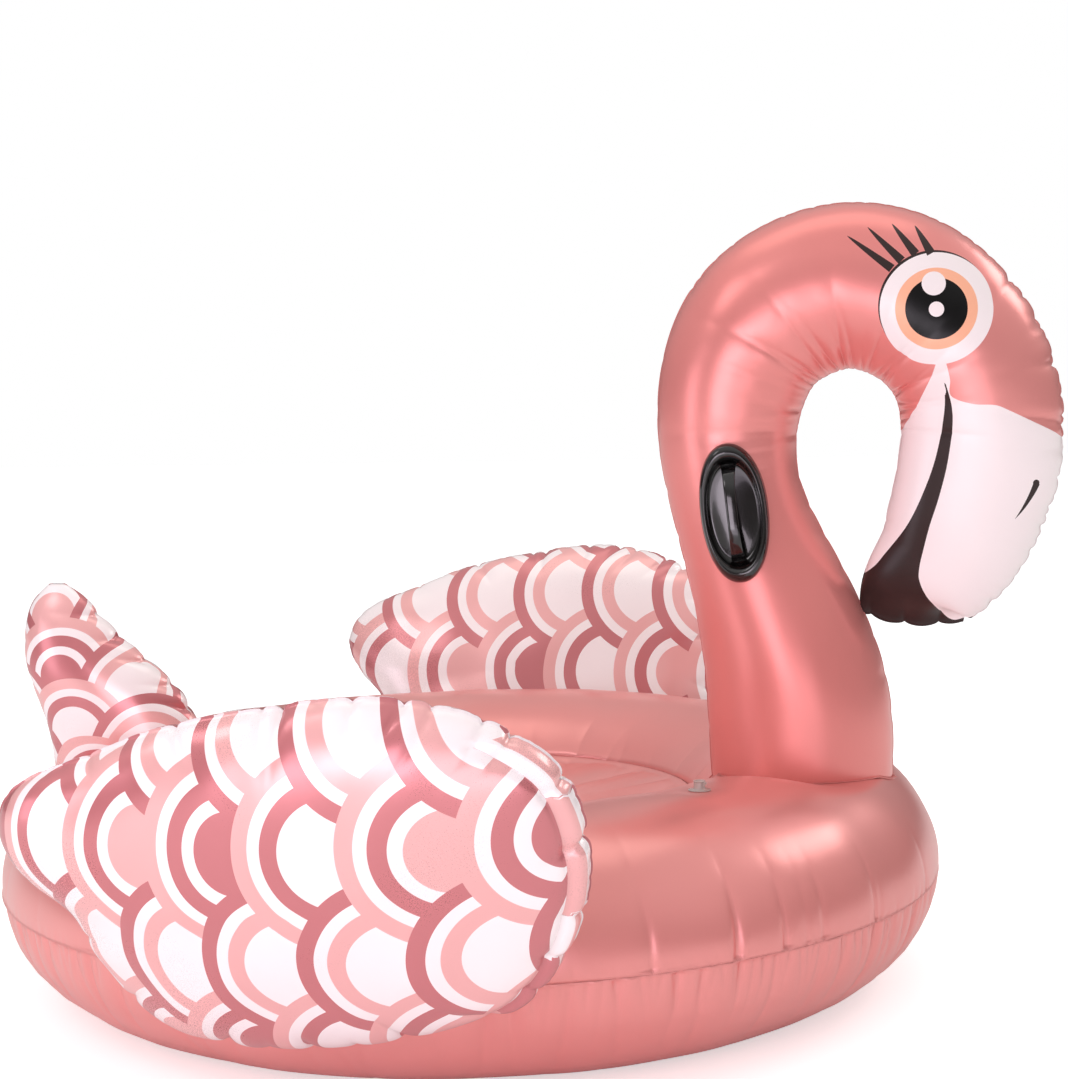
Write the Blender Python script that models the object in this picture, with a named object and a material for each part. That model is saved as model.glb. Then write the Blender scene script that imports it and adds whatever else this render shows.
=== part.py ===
"""Inflatable flamingo ride-on pool float, standing on the floor with its ring level.

+X points forward, the way the bird looks, +Y is the bird's left and +Z is up. The origin
lies on the floor in the middle of the whole float. All lengths are in metres.

Every air chamber is made of sheets of PVC film that meet at a welded seam. Each sheet is its
own thin shell, so a chamber is hollow and is open along its seams by a hair's breadth.
"""

import math

import bmesh
import bpy
from mathutils import Matrix, Vector
from mathutils.bvhtree import BVHTree

# Film and clearances
FILM = 0.0003
SEAM_GAP = 0.0003
SHEET_EDGE_OFFSET = FILM + SEAM_GAP / 2
FOOT_GAP = 0.0020
SHARP_ANGLE = math.radians(40)

# Ring: an elliptical tube swept round a circle
RING_CENTRE_X = -0.078
RING_OUTER_RADIUS = 0.620
TUBE_HALF_WIDTH = 0.174
TUBE_HALF_HEIGHT = 0.153
TUBE_RADIUS = RING_OUTER_RADIUS - TUBE_HALF_WIDTH
RING_SIDES = 40
FLAT_HALF_ANGLE = 10.0
OUTER_WELD_ANGLE = -2.0
INNER_WELD_ANGLE = 149.0
RING_MID_HEIGHT = TUBE_HALF_HEIGHT * math.cos(math.radians(FLAT_HALF_ANGLE))
UPPER_STEPS = (4, 3)
LOWER_STEPS = (6, 4)

# Seat floor: a slack sheet welded in at the ring's inner weld
SEAT_SAG = 0.022
SEAT_ROWS = (1.0, 0.8, 0.5)
SEAT_EDGE_CLEARANCE = 0.0008

# Neck and head: (forward, height, half width in profile, half thickness across), from the
# ring up the neck, over the crown and down to the tip of the beak. Forward is from the ring's
# centre.
NECK_STATIONS = (
    (0.444, 0.253, 0.117, 0.106),
    (0.440, 0.365, 0.118, 0.106),
    (0.423, 0.449, 0.109, 0.101),
    (0.398, 0.526, 0.097, 0.092),
    (0.364, 0.628, 0.086, 0.084),
    (0.353, 0.719, 0.090, 0.084),
    (0.365, 0.791, 0.096, 0.088),
    (0.394, 0.846, 0.101, 0.092),
    (0.444, 0.884, 0.104, 0.095),
    (0.512, 0.901, 0.105, 0.096),
    (0.581, 0.884, 0.105, 0.095),
    (0.635, 0.841, 0.102, 0.092),
    (0.668, 0.783, 0.101, 0.086),
    (0.678, 0.717, 0.102, 0.080),
    (0.670, 0.652, 0.101, 0.074),
    (0.649, 0.591, 0.095, 0.067),
    (0.618, 0.538, 0.083, 0.053),
    (0.592, 0.502, 0.070, 0.033),
    (0.587, 0.474, 0.065, 0.006),
)
NECK_HALF_SIDES = 12

# Tail: stations of the same kind, with its profile leaning back over the ring's rear
TAIL_STATIONS = (
    (-0.479, 0.260, 0.102, 0.043),
    (-0.490, 0.333, 0.108, 0.049),
    (-0.519, 0.391, 0.099, 0.049),
    (-0.548, 0.437, 0.076, 0.041),
    (-0.566, 0.480, 0.051, 0.029),
    (-0.572, 0.509, 0.027, 0.014),
    (-0.574, 0.521, 0.010, 0.004),
)
TAIL_HALF_SIDES = 8

# Wings: (forward, height along the wing) on a plane that leans outwards
WING_LEAN = math.radians(22.0)
WING_PLANE_Y = 0.660
WING_OUTLINE = (
    (0.274, 0.192),
    (0.259, 0.277),
    (0.216, 0.325),
    (0.149, 0.358),
    (0.045, 0.370),
    (-0.129, 0.341),
    (-0.232, 0.303),
    (-0.325, 0.261),
    (-0.354, 0.208),
    (-0.333, 0.157),
    (-0.292, 0.111),
    (-0.274, 0.053),
    (-0.235, -0.010),
    (-0.179, -0.051),
    (-0.054, -0.064),
    (0.065, -0.044),
    (0.172, -0.006),
    (0.222, 0.036),
    (0.259, 0.108),
)
WING_POINTS = 38
WING_OUTER_BULGE = 0.088
WING_INNER_BULGE = 0.050
PILLOW_ROWS = (1.0, 0.93, 0.78, 0.55, 0.28)

# Handles: an oval tub with a lengthwise grip on each side of the neck
HANDLE_CENTRE = (0.367, 0.617)
HANDLE_TILT = math.radians(6.0)
HANDLE_HALF_LENGTH = 0.088
HANDLE_HALF_WIDTH = 0.0435
HANDLE_STANDOFF = 0.0014
HANDLE_SIDES = 28
HANDLE_BACK_ROWS = (0.25, 0.5, 0.75, 1.0)
HANDLE_SECTION = (
    (1.000, 0.0018),
    (0.900, 0.0026),
    (0.860, 0.0085),
    (0.800, 0.0105),
    (0.735, 0.0090),
    (0.690, 0.0035),
    (0.350, 0.0028),
)
GRIP_HALF_LENGTH = 0.0585
GRIP_HALF_WIDTH = 0.0085
GRIP_THICKNESS = 0.0055
GRIP_FOOT_HEIGHT = 0.0042
GRIP_RISE = 0.0200
GRIP_STEPS = 14
GRIP_SIDES = 8

# Valves: a soft stem on a welded flange, closed by a plug on a short strap
VALVE_SIDES = 20
FLANGE_RADIUS = 0.0140
FLANGE_THICKNESS = 0.0010
STEM_FOOT_HEIGHT = 0.0019
STEM_RADIUS = 0.0070
STEM_HEIGHT = 0.0100
BORE_RADIUS = 0.0046
SKIRT_RADIUS = 0.0066
SKIRT_DEPTH = 0.0070
FLAP_RADIUS = 0.0062
FLAP_THICKNESS = 0.0004
FILM_HOLE_RADIUS = 0.0076
CAP_RADIUS = 0.0072
CAP_THICKNESS = 0.0016
PLUG_TOP_RADIUS = 0.0042
PLUG_TIP_RADIUS = 0.0036
PLUG_DEPTH = 0.0030
STRAP_HALF_WIDTH = 0.0022
STRAP_THICKNESS = 0.0010
HINGE_OFFSET = 0.0095
STRAP_OVERHANG = 0.0003
LUG_DEPTH = 0.0020
RING_VALVE_SIDE = -40.5
NECK_VALVE_STATION = 1
NECK_VALVE_SIDE = 3

# Colours, roughness and metallic values
ROSE_GOLD = (0.80, 0.29, 0.26, 1.0)
PRINTED = (0.93, 0.55, 0.53, 1.0)
BLACK = (0.012, 0.011, 0.012, 1.0)
CLEAR = (0.85, 0.72, 0.68, 1.0)


def clear_scene():
    for obj in list(bpy.data.objects):
        bpy.data.objects.remove(obj, do_unlink=True)


def make_material(name, colour, roughness, metallic):
    material = bpy.data.materials.new(name)
    material.use_nodes = True
    shader = material.node_tree.nodes["Principled BSDF"]
    shader.inputs["Base Color"].default_value = colour
    shader.inputs["Roughness"].default_value = roughness
    shader.inputs["Metallic"].default_value = metallic
    return material


def add_object(name, mesh, material=None):
    obj = bpy.data.objects.new(name, mesh)
    bpy.context.scene.collection.objects.link(obj)
    if material:
        mesh.materials.append(material)
        mesh.shade_smooth()
        mesh.set_sharp_from_angle(angle=SHARP_ANGLE)
    return obj


def mean(points):
    return sum(points, Vector()) / len(points)


def mesh_from_rows(name, rows, closed, end_points=(None, None)):
    """Bridge rows of points into quads; either end can close on a fan round a point."""
    bm = bmesh.new()
    grid = [[bm.verts.new(point) for point in row] for row in rows]
    count = len(rows[0])
    columns = count if closed else count - 1
    for lower, upper in zip(grid, grid[1:]):
        for i in range(columns):
            j = (i + 1) % count
            bm.faces.new((lower[i], lower[j], upper[j], upper[i]))
    for point, row, turn in zip(end_points, (grid[0], grid[-1]), (-1, 1)):
        if point is None:
            continue
        middle = bm.verts.new(point)
        for i in range(count):
            corner = (row[i], row[(i + 1) % count])[::turn]
            bm.faces.new((*corner, middle))
    mesh = bpy.data.meshes.new(name)
    bm.to_mesh(mesh)
    bm.free()
    return mesh


def face_away_from(mesh, inside):
    """Turn an open sheet round if its faces look towards the point inside."""
    mesh.update()
    facing = sum((p.center - inside(p.center)).dot(p.normal) * p.area for p in mesh.polygons)
    if facing < 0:
        mesh.flip_normals()


def film_sheet(name, mesh, inside, material):
    """A sheet of film whose outer face is the mesh."""
    face_away_from(mesh, inside)
    obj = add_object(name, mesh, material)
    film = obj.modifiers.new("film", "SOLIDIFY")
    film.thickness = FILM
    film.offset = -1.0
    return obj


# Ring and seat


def tube_point(section_angle, side_angle):
    """A point on the ring: section angle 0 faces outwards, 90 degrees is the crest."""
    radius = TUBE_RADIUS + TUBE_HALF_WIDTH * math.cos(section_angle)
    height = RING_MID_HEIGHT + TUBE_HALF_HEIGHT * math.sin(section_angle)
    return Vector((
        RING_CENTRE_X + radius * math.cos(side_angle),
        radius * math.sin(side_angle),
        height,
    ))


def spread(first, last, steps):
    return [first + (last - first) * i / steps for i in range(steps + 1)]


def ring_middle(point):
    """The nearest point of the tube's centre line."""
    flat = Vector((point.x - RING_CENTRE_X, point.y, 0.0)).normalized() * TUBE_RADIUS
    return Vector((RING_CENTRE_X + flat.x, flat.y, RING_MID_HEIGHT))


def ring_sheet(name, stretches, material):
    """One half of the ring's tube, through runs of (first, last, steps) section angles."""
    angles = []
    for first, last, steps in stretches:
        angles += [a for a in spread(first, last, steps) if not angles or a != angles[-1]]
    sides = [2 * math.pi * i / RING_SIDES for i in range(RING_SIDES)]
    rows = [[tube_point(math.radians(a), side) for side in sides] for a in angles]
    return film_sheet(name, mesh_from_rows(name, rows, closed=True), ring_middle, material)


def make_ring(material):
    """Both sheets keep a flat strip, one on the crest and one that stands on the floor."""
    half_gap = math.degrees(SEAM_GAP / 2 / TUBE_HALF_HEIGHT)
    top = (90 - FLAT_HALF_ANGLE, 90 + FLAT_HALF_ANGLE)
    bottom = (270 - FLAT_HALF_ANGLE, 270 + FLAT_HALF_ANGLE)
    upper = ring_sheet("ring_upper_panel", (
        (OUTER_WELD_ANGLE + half_gap, top[0], UPPER_STEPS[0]),
        (top[0], top[1], 1),
        (top[1], INNER_WELD_ANGLE - half_gap, UPPER_STEPS[1]),
    ), material)
    ring_sheet("ring_lower_panel", (
        (INNER_WELD_ANGLE + half_gap, bottom[0], LOWER_STEPS[0]),
        (bottom[0], bottom[1], 1),
        (bottom[1], 360 + OUTER_WELD_ANGLE - half_gap, LOWER_STEPS[1]),
    ), material)
    return upper


def make_seat(material):
    edge = tube_point(math.radians(INNER_WELD_ANGLE), 0.0)
    radius = edge.x - RING_CENTRE_X - SEAT_EDGE_CLEARANCE
    sides = [2 * math.pi * i / RING_SIDES for i in range(RING_SIDES)]
    rows = []
    for share in SEAT_ROWS:
        height = edge.z - SEAT_SAG * (1 - share**2)
        rows.append([
            Vector((
                RING_CENTRE_X + radius * share * math.cos(side),
                radius * share * math.sin(side),
                height,
            ))
            for side in sides
        ])
    middle = Vector((RING_CENTRE_X, 0.0, edge.z - SEAT_SAG))
    mesh = mesh_from_rows("seat_floor", rows, closed=True, end_points=(None, middle))
    return film_sheet("seat_floor", mesh, lambda point: point - Vector((0, 0, 1)), material)


# Neck, head and tail: two side sheets each, welded in the middle plane


def station_frames(stations, upright):
    """(middle, outward direction in the profile, half width, half thickness) per station."""
    middles = [Vector((RING_CENTRE_X + x, 0.0, z)) for x, z, _, _ in stations]
    frames = []
    for i, (_, _, half_width, half_thickness) in enumerate(stations):
        along = middles[min(i + 1, len(middles) - 1)] - middles[max(i - 1, 0)]
        if upright or i == 0:
            along = Vector((0, 0, 1))
        outward = Vector((-along.z, 0.0, along.x)).normalized()
        frames.append((middles[i], outward, half_width, half_thickness))
    return frames


def on_ring(point):
    """The point straight above or below on the ring's upper side, a small gap clear of it."""
    radius = math.hypot(point.x - RING_CENTRE_X, point.y)
    across = (radius - TUBE_RADIUS) / (TUBE_HALF_WIDTH + FOOT_GAP)
    rise = (TUBE_HALF_HEIGHT + FOOT_GAP) * math.sqrt(1 - across**2)
    return Vector((point.x, point.y, RING_MID_HEIGHT + rise))


def side_sheet_rows(stations, half_sides, side, upright):
    """Rows of one side sheet; side is -1 for the right and 1 for the left."""
    rows = []
    for i, (middle, outward, half_width, half_thickness) in enumerate(
        station_frames(stations, upright)
    ):
        row = []
        for angle in spread(0.0, math.pi, half_sides):
            point = middle + outward * half_width * math.cos(angle)
            point.y = side * (half_thickness * math.sin(angle) + SHEET_EDGE_OFFSET)
            row.append(on_ring(point) if i == 0 else point)
        rows.append(row)
    return rows


def side_sheet(name, stations, half_sides, side, upright, material):
    rows = side_sheet_rows(stations, half_sides, side, upright)
    inside = Vector((0.0, -side, 0.0))
    mesh = mesh_from_rows(name, rows, closed=False)
    return film_sheet(name, mesh, lambda point: point + inside, material)


# Wings: an outer and an inner sheet each


def smooth_outline(points, count):
    """Evenly many points on a closed Catmull-Rom curve through the given ones."""
    outline = []
    for k in range(count):
        place = k * len(points) / count
        i = int(place)
        t = place - i
        a, b, c, d = (Vector(points[(i + j) % len(points)]) for j in (-1, 0, 1, 2))
        outline.append(
            b
            + (c - a) * (t / 2)
            + (a * 2 - b * 5 + c * 4 - d) * (t**2 / 2)
            + (b * 3 - a - c * 3 + d) * (t**3 / 2)
        )
    return outline


def wing_sheet(name, side, bulge, material):
    """A domed sheet on one face of the wing; a positive bulge faces away from the ring."""
    up = Vector((0.0, side * math.sin(WING_LEAN), math.cos(WING_LEAN)))
    away = Vector((0.0, side * math.cos(WING_LEAN), -math.sin(WING_LEAN)))
    foot = Vector((RING_CENTRE_X, side * WING_PLANE_Y, RING_MID_HEIGHT))
    foot += away * math.copysign(SHEET_EDGE_OFFSET, bulge)
    outline = smooth_outline(WING_OUTLINE, WING_POINTS)
    middle = sum(outline, Vector((0.0, 0.0))) / len(outline)
    rows = []
    for share in PILLOW_ROWS:
        height = bulge * math.sqrt(1 - share**2)
        row = []
        for corner in outline:
            flat = middle + (corner - middle) * share
            row.append(foot + Vector((flat.x, 0.0, 0.0)) + up * flat.y + away * height)
        rows.append(row)
    top = foot + Vector((middle.x, 0.0, 0.0)) + up * middle.y + away * bulge
    mesh = mesh_from_rows(name, rows, closed=True, end_points=(None, top))
    back = away * math.copysign(1.0, bulge)
    return film_sheet(name, mesh, lambda point: point - back, material)


# Handles


class NeckSide:
    """Finds the surface of one of the neck's side sheets."""

    def __init__(self, rows, side):
        self.side = side
        points = [point for row in rows for point in row]
        count = len(rows[0])
        faces = [
            (r * count + i, r * count + i + 1, (r + 1) * count + i + 1, (r + 1) * count + i)
            for r in range(len(rows) - 1)
            for i in range(count - 1)
        ]
        self.tree = BVHTree.FromPolygons(points, faces)

    def above(self, forward, height, rise):
        """The point a rise outside the neck's surface at this place of its profile."""
        start = Vector((RING_CENTRE_X + forward, self.side, height))
        hit = self.tree.ray_cast(start, Vector((0.0, -self.side, 0.0)))[0]
        return hit + Vector((0.0, self.side * rise, 0.0))


def handle_place(along, across):
    """Profile coordinates of a place on the handle's face."""
    cos, sin = math.cos(HANDLE_TILT), math.sin(HANDLE_TILT)
    forward = HANDLE_CENTRE[0] + across * cos - along * sin
    height = HANDLE_CENTRE[1] + across * sin + along * cos
    return forward, height


def oval(share, angle):
    return share * HANDLE_HALF_LENGTH * math.cos(angle), share * HANDLE_HALF_WIDTH * math.sin(angle)


def make_handle_tub(name, neck, material):
    """A flange, a raised rim and a recess, moulded to the neck's side."""
    angles = [2 * math.pi * i / HANDLE_SIDES for i in range(HANDLE_SIDES)]
    back = [(share, 0.0) for share in HANDLE_BACK_ROWS]
    rows = []
    for share, rise in (*back, *HANDLE_SECTION):
        height = HANDLE_STANDOFF + rise
        rows.append([neck.above(*handle_place(*oval(share, a)), height) for a in angles])
    ends = [
        neck.above(*HANDLE_CENTRE, HANDLE_STANDOFF + rise)
        for rise in (0.0, HANDLE_SECTION[-1][1])
    ]
    mesh = mesh_from_rows(name, rows, closed=True, end_points=ends)
    if neck.side < 0:
        mesh.flip_normals()
    return add_object(name, mesh, material)


def make_handle_grip(name, neck, material):
    """An arched bar that runs lengthwise over the tub, from rim to rim."""
    rows = []
    for place in spread(-1.0, 1.0, GRIP_STEPS):
        along = place * GRIP_HALF_LENGTH
        lift = HANDLE_STANDOFF + GRIP_FOOT_HEIGHT + GRIP_RISE * (1 - place**4)
        spine = neck.above(*handle_place(along, 0.0), lift)
        forward, height = handle_place(0.0, 1.0)
        across = Vector((forward - HANDLE_CENTRE[0], 0.0, height - HANDLE_CENTRE[1]))
        row = []
        for i in range(GRIP_SIDES):
            angle = 2 * math.pi * i / GRIP_SIDES
            point = spine + across * GRIP_HALF_WIDTH * math.cos(angle)
            point.y += neck.side * GRIP_THICKNESS / 2 * (1 + math.sin(angle))
            row.append(point)
        rows.append(row)
    mesh = mesh_from_rows(name, rows, closed=True, end_points=(mean(rows[0]), mean(rows[-1])))
    if neck.side < 0:
        mesh.flip_normals()
    return add_object(name, mesh, material)


# Valves


def turned_mesh(name, profile, closed_loop):
    """Turn (radius, height) points round Z; an open profile ends on caps at its middle."""
    rows = [
        [
            Vector((r * math.cos(turn), r * math.sin(turn), z))
            for turn in (2 * math.pi * i / VALVE_SIDES for i in range(VALVE_SIDES))
        ]
        for r, z in profile
    ]
    if closed_loop:
        rows.append(rows[0])
    ends = (None, None) if closed_loop else (mean(rows[0]), mean(rows[-1]))
    mesh = mesh_from_rows(name, rows, closed=True, end_points=ends)
    bm = bmesh.new()
    bm.from_mesh(mesh)
    bmesh.ops.remove_doubles(bm, verts=bm.verts, dist=1e-6)
    bmesh.ops.recalc_face_normals(bm, faces=bm.faces)
    bm.to_mesh(mesh)
    bm.free()
    return mesh


def box_mesh(name, low, high):
    bm = bmesh.new()
    size = Vector(high) - Vector(low)
    middle = (Vector(high) + Vector(low)) / 2
    place = Matrix.Translation(middle) @ Matrix.Diagonal((*size, 1.0))
    bmesh.ops.create_cube(bm, size=1.0, matrix=place)
    mesh = bpy.data.meshes.new(name)
    bm.to_mesh(mesh)
    bm.free()
    return mesh


def helper(name, mesh, frame):
    """A cutter or an addition for a Boolean, which isn't a piece of its own."""
    obj = add_object(name, mesh)
    obj.matrix_world = frame
    obj.hide_render = True
    obj.display_type = "WIRE"
    return obj


def add_boolean(obj, other, operation):
    cut = obj.modifiers.new(other.name, "BOOLEAN")
    cut.operation = operation
    cut.solver = "EXACT"
    cut.object = other


def make_valve(prefix, sheet, frame, material):
    """A valve on a film sheet; the frame's Z leaves the chamber and its -X holds the hinge."""
    body = add_object(f"{prefix}_body", turned_mesh(f"{prefix}_body", (
        (FLANGE_RADIUS, SEAM_GAP),
        (FLANGE_RADIUS, SEAM_GAP + FLANGE_THICKNESS),
        (STEM_RADIUS, STEM_FOOT_HEIGHT),
        (STEM_RADIUS, STEM_HEIGHT),
        (BORE_RADIUS, STEM_HEIGHT),
        (BORE_RADIUS, -SKIRT_DEPTH),
        (SKIRT_RADIUS, -SKIRT_DEPTH),
        (SKIRT_RADIUS, SEAM_GAP),
    ), closed_loop=True), material)
    body.matrix_world = frame
    lug = box_mesh(
        f"{prefix}_lug",
        (-HINGE_OFFSET - STRAP_OVERHANG, -STRAP_HALF_WIDTH, STEM_HEIGHT - LUG_DEPTH),
        (-(STEM_RADIUS + BORE_RADIUS) / 2, STRAP_HALF_WIDTH, STEM_HEIGHT),
    )
    add_boolean(body, helper(f"{prefix}_lug", lug, frame), "UNION")

    flap_top = -SKIRT_DEPTH - SEAM_GAP
    flap = add_object(f"{prefix}_flap", turned_mesh(f"{prefix}_flap", (
        (FLAP_RADIUS, flap_top),
        (FLAP_RADIUS, flap_top - FLAP_THICKNESS),
    ), closed_loop=False), material)
    flap.matrix_world = frame

    # The cap's origin is on its hinge line, so its mesh is drawn relative to that line.
    seat = STEM_HEIGHT + SEAM_GAP
    hinge = Vector((-HINGE_OFFSET, 0.0, seat + STRAP_THICKNESS / 2))
    cap_mesh = turned_mesh(f"{prefix}_cap", (
        (CAP_RADIUS, seat + CAP_THICKNESS),
        (CAP_RADIUS, seat),
        (PLUG_TOP_RADIUS, seat),
        (PLUG_TIP_RADIUS, seat - PLUG_DEPTH),
    ), closed_loop=False)
    cap_mesh.transform(Matrix.Translation(-hinge))
    cap = add_object(f"{prefix}_cap", cap_mesh, material)
    cap.matrix_world = frame @ Matrix.Translation(hinge)
    strap = box_mesh(
        f"{prefix}_strap",
        (-HINGE_OFFSET - STRAP_OVERHANG, -STRAP_HALF_WIDTH, seat),
        (-PLUG_TOP_RADIUS, STRAP_HALF_WIDTH, seat + STRAP_THICKNESS),
    )
    add_boolean(cap, helper(f"{prefix}_strap", strap, frame), "UNION")

    hole = turned_mesh(f"{prefix}_hole", (
        (FILM_HOLE_RADIUS, 5 * FILM),
        (FILM_HOLE_RADIUS, -SKIRT_DEPTH / 2),
    ), closed_loop=False)
    add_boolean(sheet, helper(f"{prefix}_hole", hole, frame), "DIFFERENCE")


def ring_valve_frame():
    """On the ring's crest beside the neck, with its hinge towards the outside."""
    side = math.radians(RING_VALVE_SIDE)
    crest = tube_point(math.radians(90 - FLAT_HALF_ANGLE), side).z
    place = Vector((
        RING_CENTRE_X + TUBE_RADIUS * math.cos(side),
        TUBE_RADIUS * math.sin(side),
        crest,
    ))
    return Matrix.Translation(place) @ Matrix.Rotation(side + math.pi, 4, "Z")


def neck_valve_frame(rows):
    """Low on the neck's left side, on one flat facet, with its hinge at the top."""
    lower = rows[NECK_VALVE_STATION]
    upper = rows[NECK_VALVE_STATION + 1]
    i = NECK_VALVE_SIDE
    corners = (lower[i], lower[i + 1], upper[i + 1], upper[i])
    place = mean(corners)
    outward = (corners[2] - corners[0]).cross(corners[3] - corners[1]).normalized()
    if outward.y < 0:
        outward.negate()
    down = (Vector((0, 0, -1)) + outward * outward.z).normalized()
    across = outward.cross(down)
    return Matrix.Translation(place) @ Matrix((down, across, outward)).transposed().to_4x4()


def main():
    clear_scene()
    rose = make_material("rose_gold_film", ROSE_GOLD, 0.28, 0.55)
    printed = make_material("printed_film", PRINTED, 0.30, 0.10)
    black = make_material("black_moulding", BLACK, 0.22, 0.0)
    clear = make_material("clear_moulding", CLEAR, 0.15, 0.0)

    ring_top = make_ring(rose)
    make_seat(rose)
    for side, word in ((-1, "right"), (1, "left")):
        neck_sheet = side_sheet(
            f"neck_{word}_panel", NECK_STATIONS, NECK_HALF_SIDES, side, False, rose
        )
        side_sheet(f"tail_{word}_panel", TAIL_STATIONS, TAIL_HALF_SIDES, side, True, printed)
        wing_sheet(f"{word}_wing_outer_panel", side, WING_OUTER_BULGE, printed)
        wing_sheet(f"{word}_wing_inner_panel", side, -WING_INNER_BULGE, printed)
        neck_rows = side_sheet_rows(NECK_STATIONS, NECK_HALF_SIDES, side, False)
        neck = NeckSide(neck_rows, side)
        make_handle_tub(f"{word}_handle_tub", neck, black)
        make_handle_grip(f"{word}_handle_grip", neck, black)
    make_valve("ring_valve", ring_top, ring_valve_frame(), clear)
    make_valve("neck_valve", neck_sheet, neck_valve_frame(neck_rows), clear)


main()
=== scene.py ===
import math

import bmesh
import bpy
import numpy as np
from mathutils import Matrix, Vector
from mathutils.bvhtree import BVHTree


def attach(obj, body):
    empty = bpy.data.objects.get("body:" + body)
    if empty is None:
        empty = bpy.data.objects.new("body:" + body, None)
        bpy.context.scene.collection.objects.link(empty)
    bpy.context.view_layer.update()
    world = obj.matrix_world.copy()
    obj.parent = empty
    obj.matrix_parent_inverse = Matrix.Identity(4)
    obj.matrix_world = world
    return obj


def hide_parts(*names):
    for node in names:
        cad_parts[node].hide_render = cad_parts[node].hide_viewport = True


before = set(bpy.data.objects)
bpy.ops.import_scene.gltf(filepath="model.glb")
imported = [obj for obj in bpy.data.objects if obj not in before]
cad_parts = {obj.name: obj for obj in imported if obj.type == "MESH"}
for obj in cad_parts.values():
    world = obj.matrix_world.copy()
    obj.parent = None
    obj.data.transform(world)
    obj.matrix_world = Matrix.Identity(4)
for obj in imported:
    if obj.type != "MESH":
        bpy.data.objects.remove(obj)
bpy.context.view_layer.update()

# Sizes in metres. The outlines and the ring, valve and handle sizes are the CAD's.
FILM = 0.0003
SEAM_GAP = 0.0003
SHEET_EDGE_OFFSET = FILM + SEAM_GAP / 2
RING_CENTRE_X = -0.078
TUBE_HALF_WIDTH = 0.174
TUBE_HALF_HEIGHT = 0.153
TUBE_RADIUS = 0.446
RING_MID_HEIGHT = TUBE_HALF_HEIGHT * math.cos(math.radians(10.0))
CREST_HEIGHT = RING_MID_HEIGHT + TUBE_HALF_HEIGHT * math.sin(math.radians(80.0))
OUTER_WELD_ANGLE = -2.0
INNER_WELD_ANGLE = 149.0
SEAT_SAG = 0.022
# Stations up a spine: (forward, height, half width, half thickness)
NECK_STATIONS = (
    (0.444, 0.253, 0.117, 0.106), (0.440, 0.365, 0.118, 0.106), (0.423, 0.449, 0.109, 0.101),
    (0.398, 0.526, 0.097, 0.092), (0.364, 0.628, 0.086, 0.084), (0.353, 0.719, 0.090, 0.084),
    (0.365, 0.791, 0.096, 0.088), (0.394, 0.846, 0.101, 0.092), (0.444, 0.884, 0.104, 0.095),
    (0.512, 0.901, 0.105, 0.096), (0.581, 0.884, 0.105, 0.095), (0.635, 0.841, 0.102, 0.092),
    (0.668, 0.783, 0.101, 0.086), (0.678, 0.717, 0.102, 0.080), (0.670, 0.652, 0.101, 0.074),
    (0.649, 0.591, 0.095, 0.067), (0.618, 0.538, 0.083, 0.053), (0.592, 0.502, 0.070, 0.033),
    (0.587, 0.474, 0.065, 0.006),
)
TAIL_STATIONS = (
    (-0.479, 0.260, 0.102, 0.043), (-0.490, 0.333, 0.108, 0.049), (-0.519, 0.391, 0.099, 0.049),
    (-0.548, 0.437, 0.076, 0.041), (-0.566, 0.480, 0.051, 0.029), (-0.572, 0.509, 0.027, 0.014),
    (-0.574, 0.521, 0.010, 0.004),
)
WING_LEAN = math.radians(22.0)
WING_PLANE_Y = 0.660
# (forward, up the wing) from the middle of the ring's height
WING_OUTLINE = (
    (0.274, 0.192), (0.259, 0.277), (0.216, 0.325), (0.149, 0.358), (0.045, 0.370),
    (-0.129, 0.341), (-0.232, 0.303), (-0.325, 0.261), (-0.354, 0.208), (-0.333, 0.157),
    (-0.292, 0.111), (-0.274, 0.053), (-0.235, -0.010), (-0.179, -0.051), (-0.054, -0.064),
    (0.065, -0.044), (0.172, -0.006), (0.222, 0.036), (0.259, 0.108),
)
WING_OUTER_BULGE = 0.088
WING_INNER_BULGE = 0.050
FOOT_LEVEL = 0.274
FLARE = 0.0045
NECK_COLUMNS = 64
HANDLE_CENTRE = (0.367, 0.617)
HANDLE_TILT = math.radians(6.0)
HANDLE_HALF_LENGTH = 0.088
HANDLE_HALF_WIDTH = 0.0435
FRINGE = 0.0016
INNER_FRINGE = 0.0008
INNER_WELD_RADIUS = 0.297
EYE = (0.622, 0.869)
EYE_RADIUS = 0.0695
IRIS_RADIUS = 0.0505
PUPIL_RADIUS = 0.0382
LASH_HALF_WIDTH = 0.0055
ROUND_VALVE = 0.014
SEAM_PART = 0.006

X, Y, Z = np.eye(3)


# Numbers


def ease(x):
    x = np.clip(x, 0.0, 1.0)
    return x * x * (3 - 2 * x)


def unit(vectors):
    length = np.linalg.norm(vectors, axis=-1, keepdims=True)
    return vectors / np.maximum(length, 1e-12)


def path_length(points, axis=0):
    """The distance along rows (axis 0) or columns (axis 1) of points, from the first one."""
    steps = np.linalg.norm(np.diff(points, axis=axis), axis=-1)
    first = np.zeros_like(np.take(steps, [0], axis=axis))
    return np.concatenate([first, np.cumsum(steps, axis=axis)], axis=axis)


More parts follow.
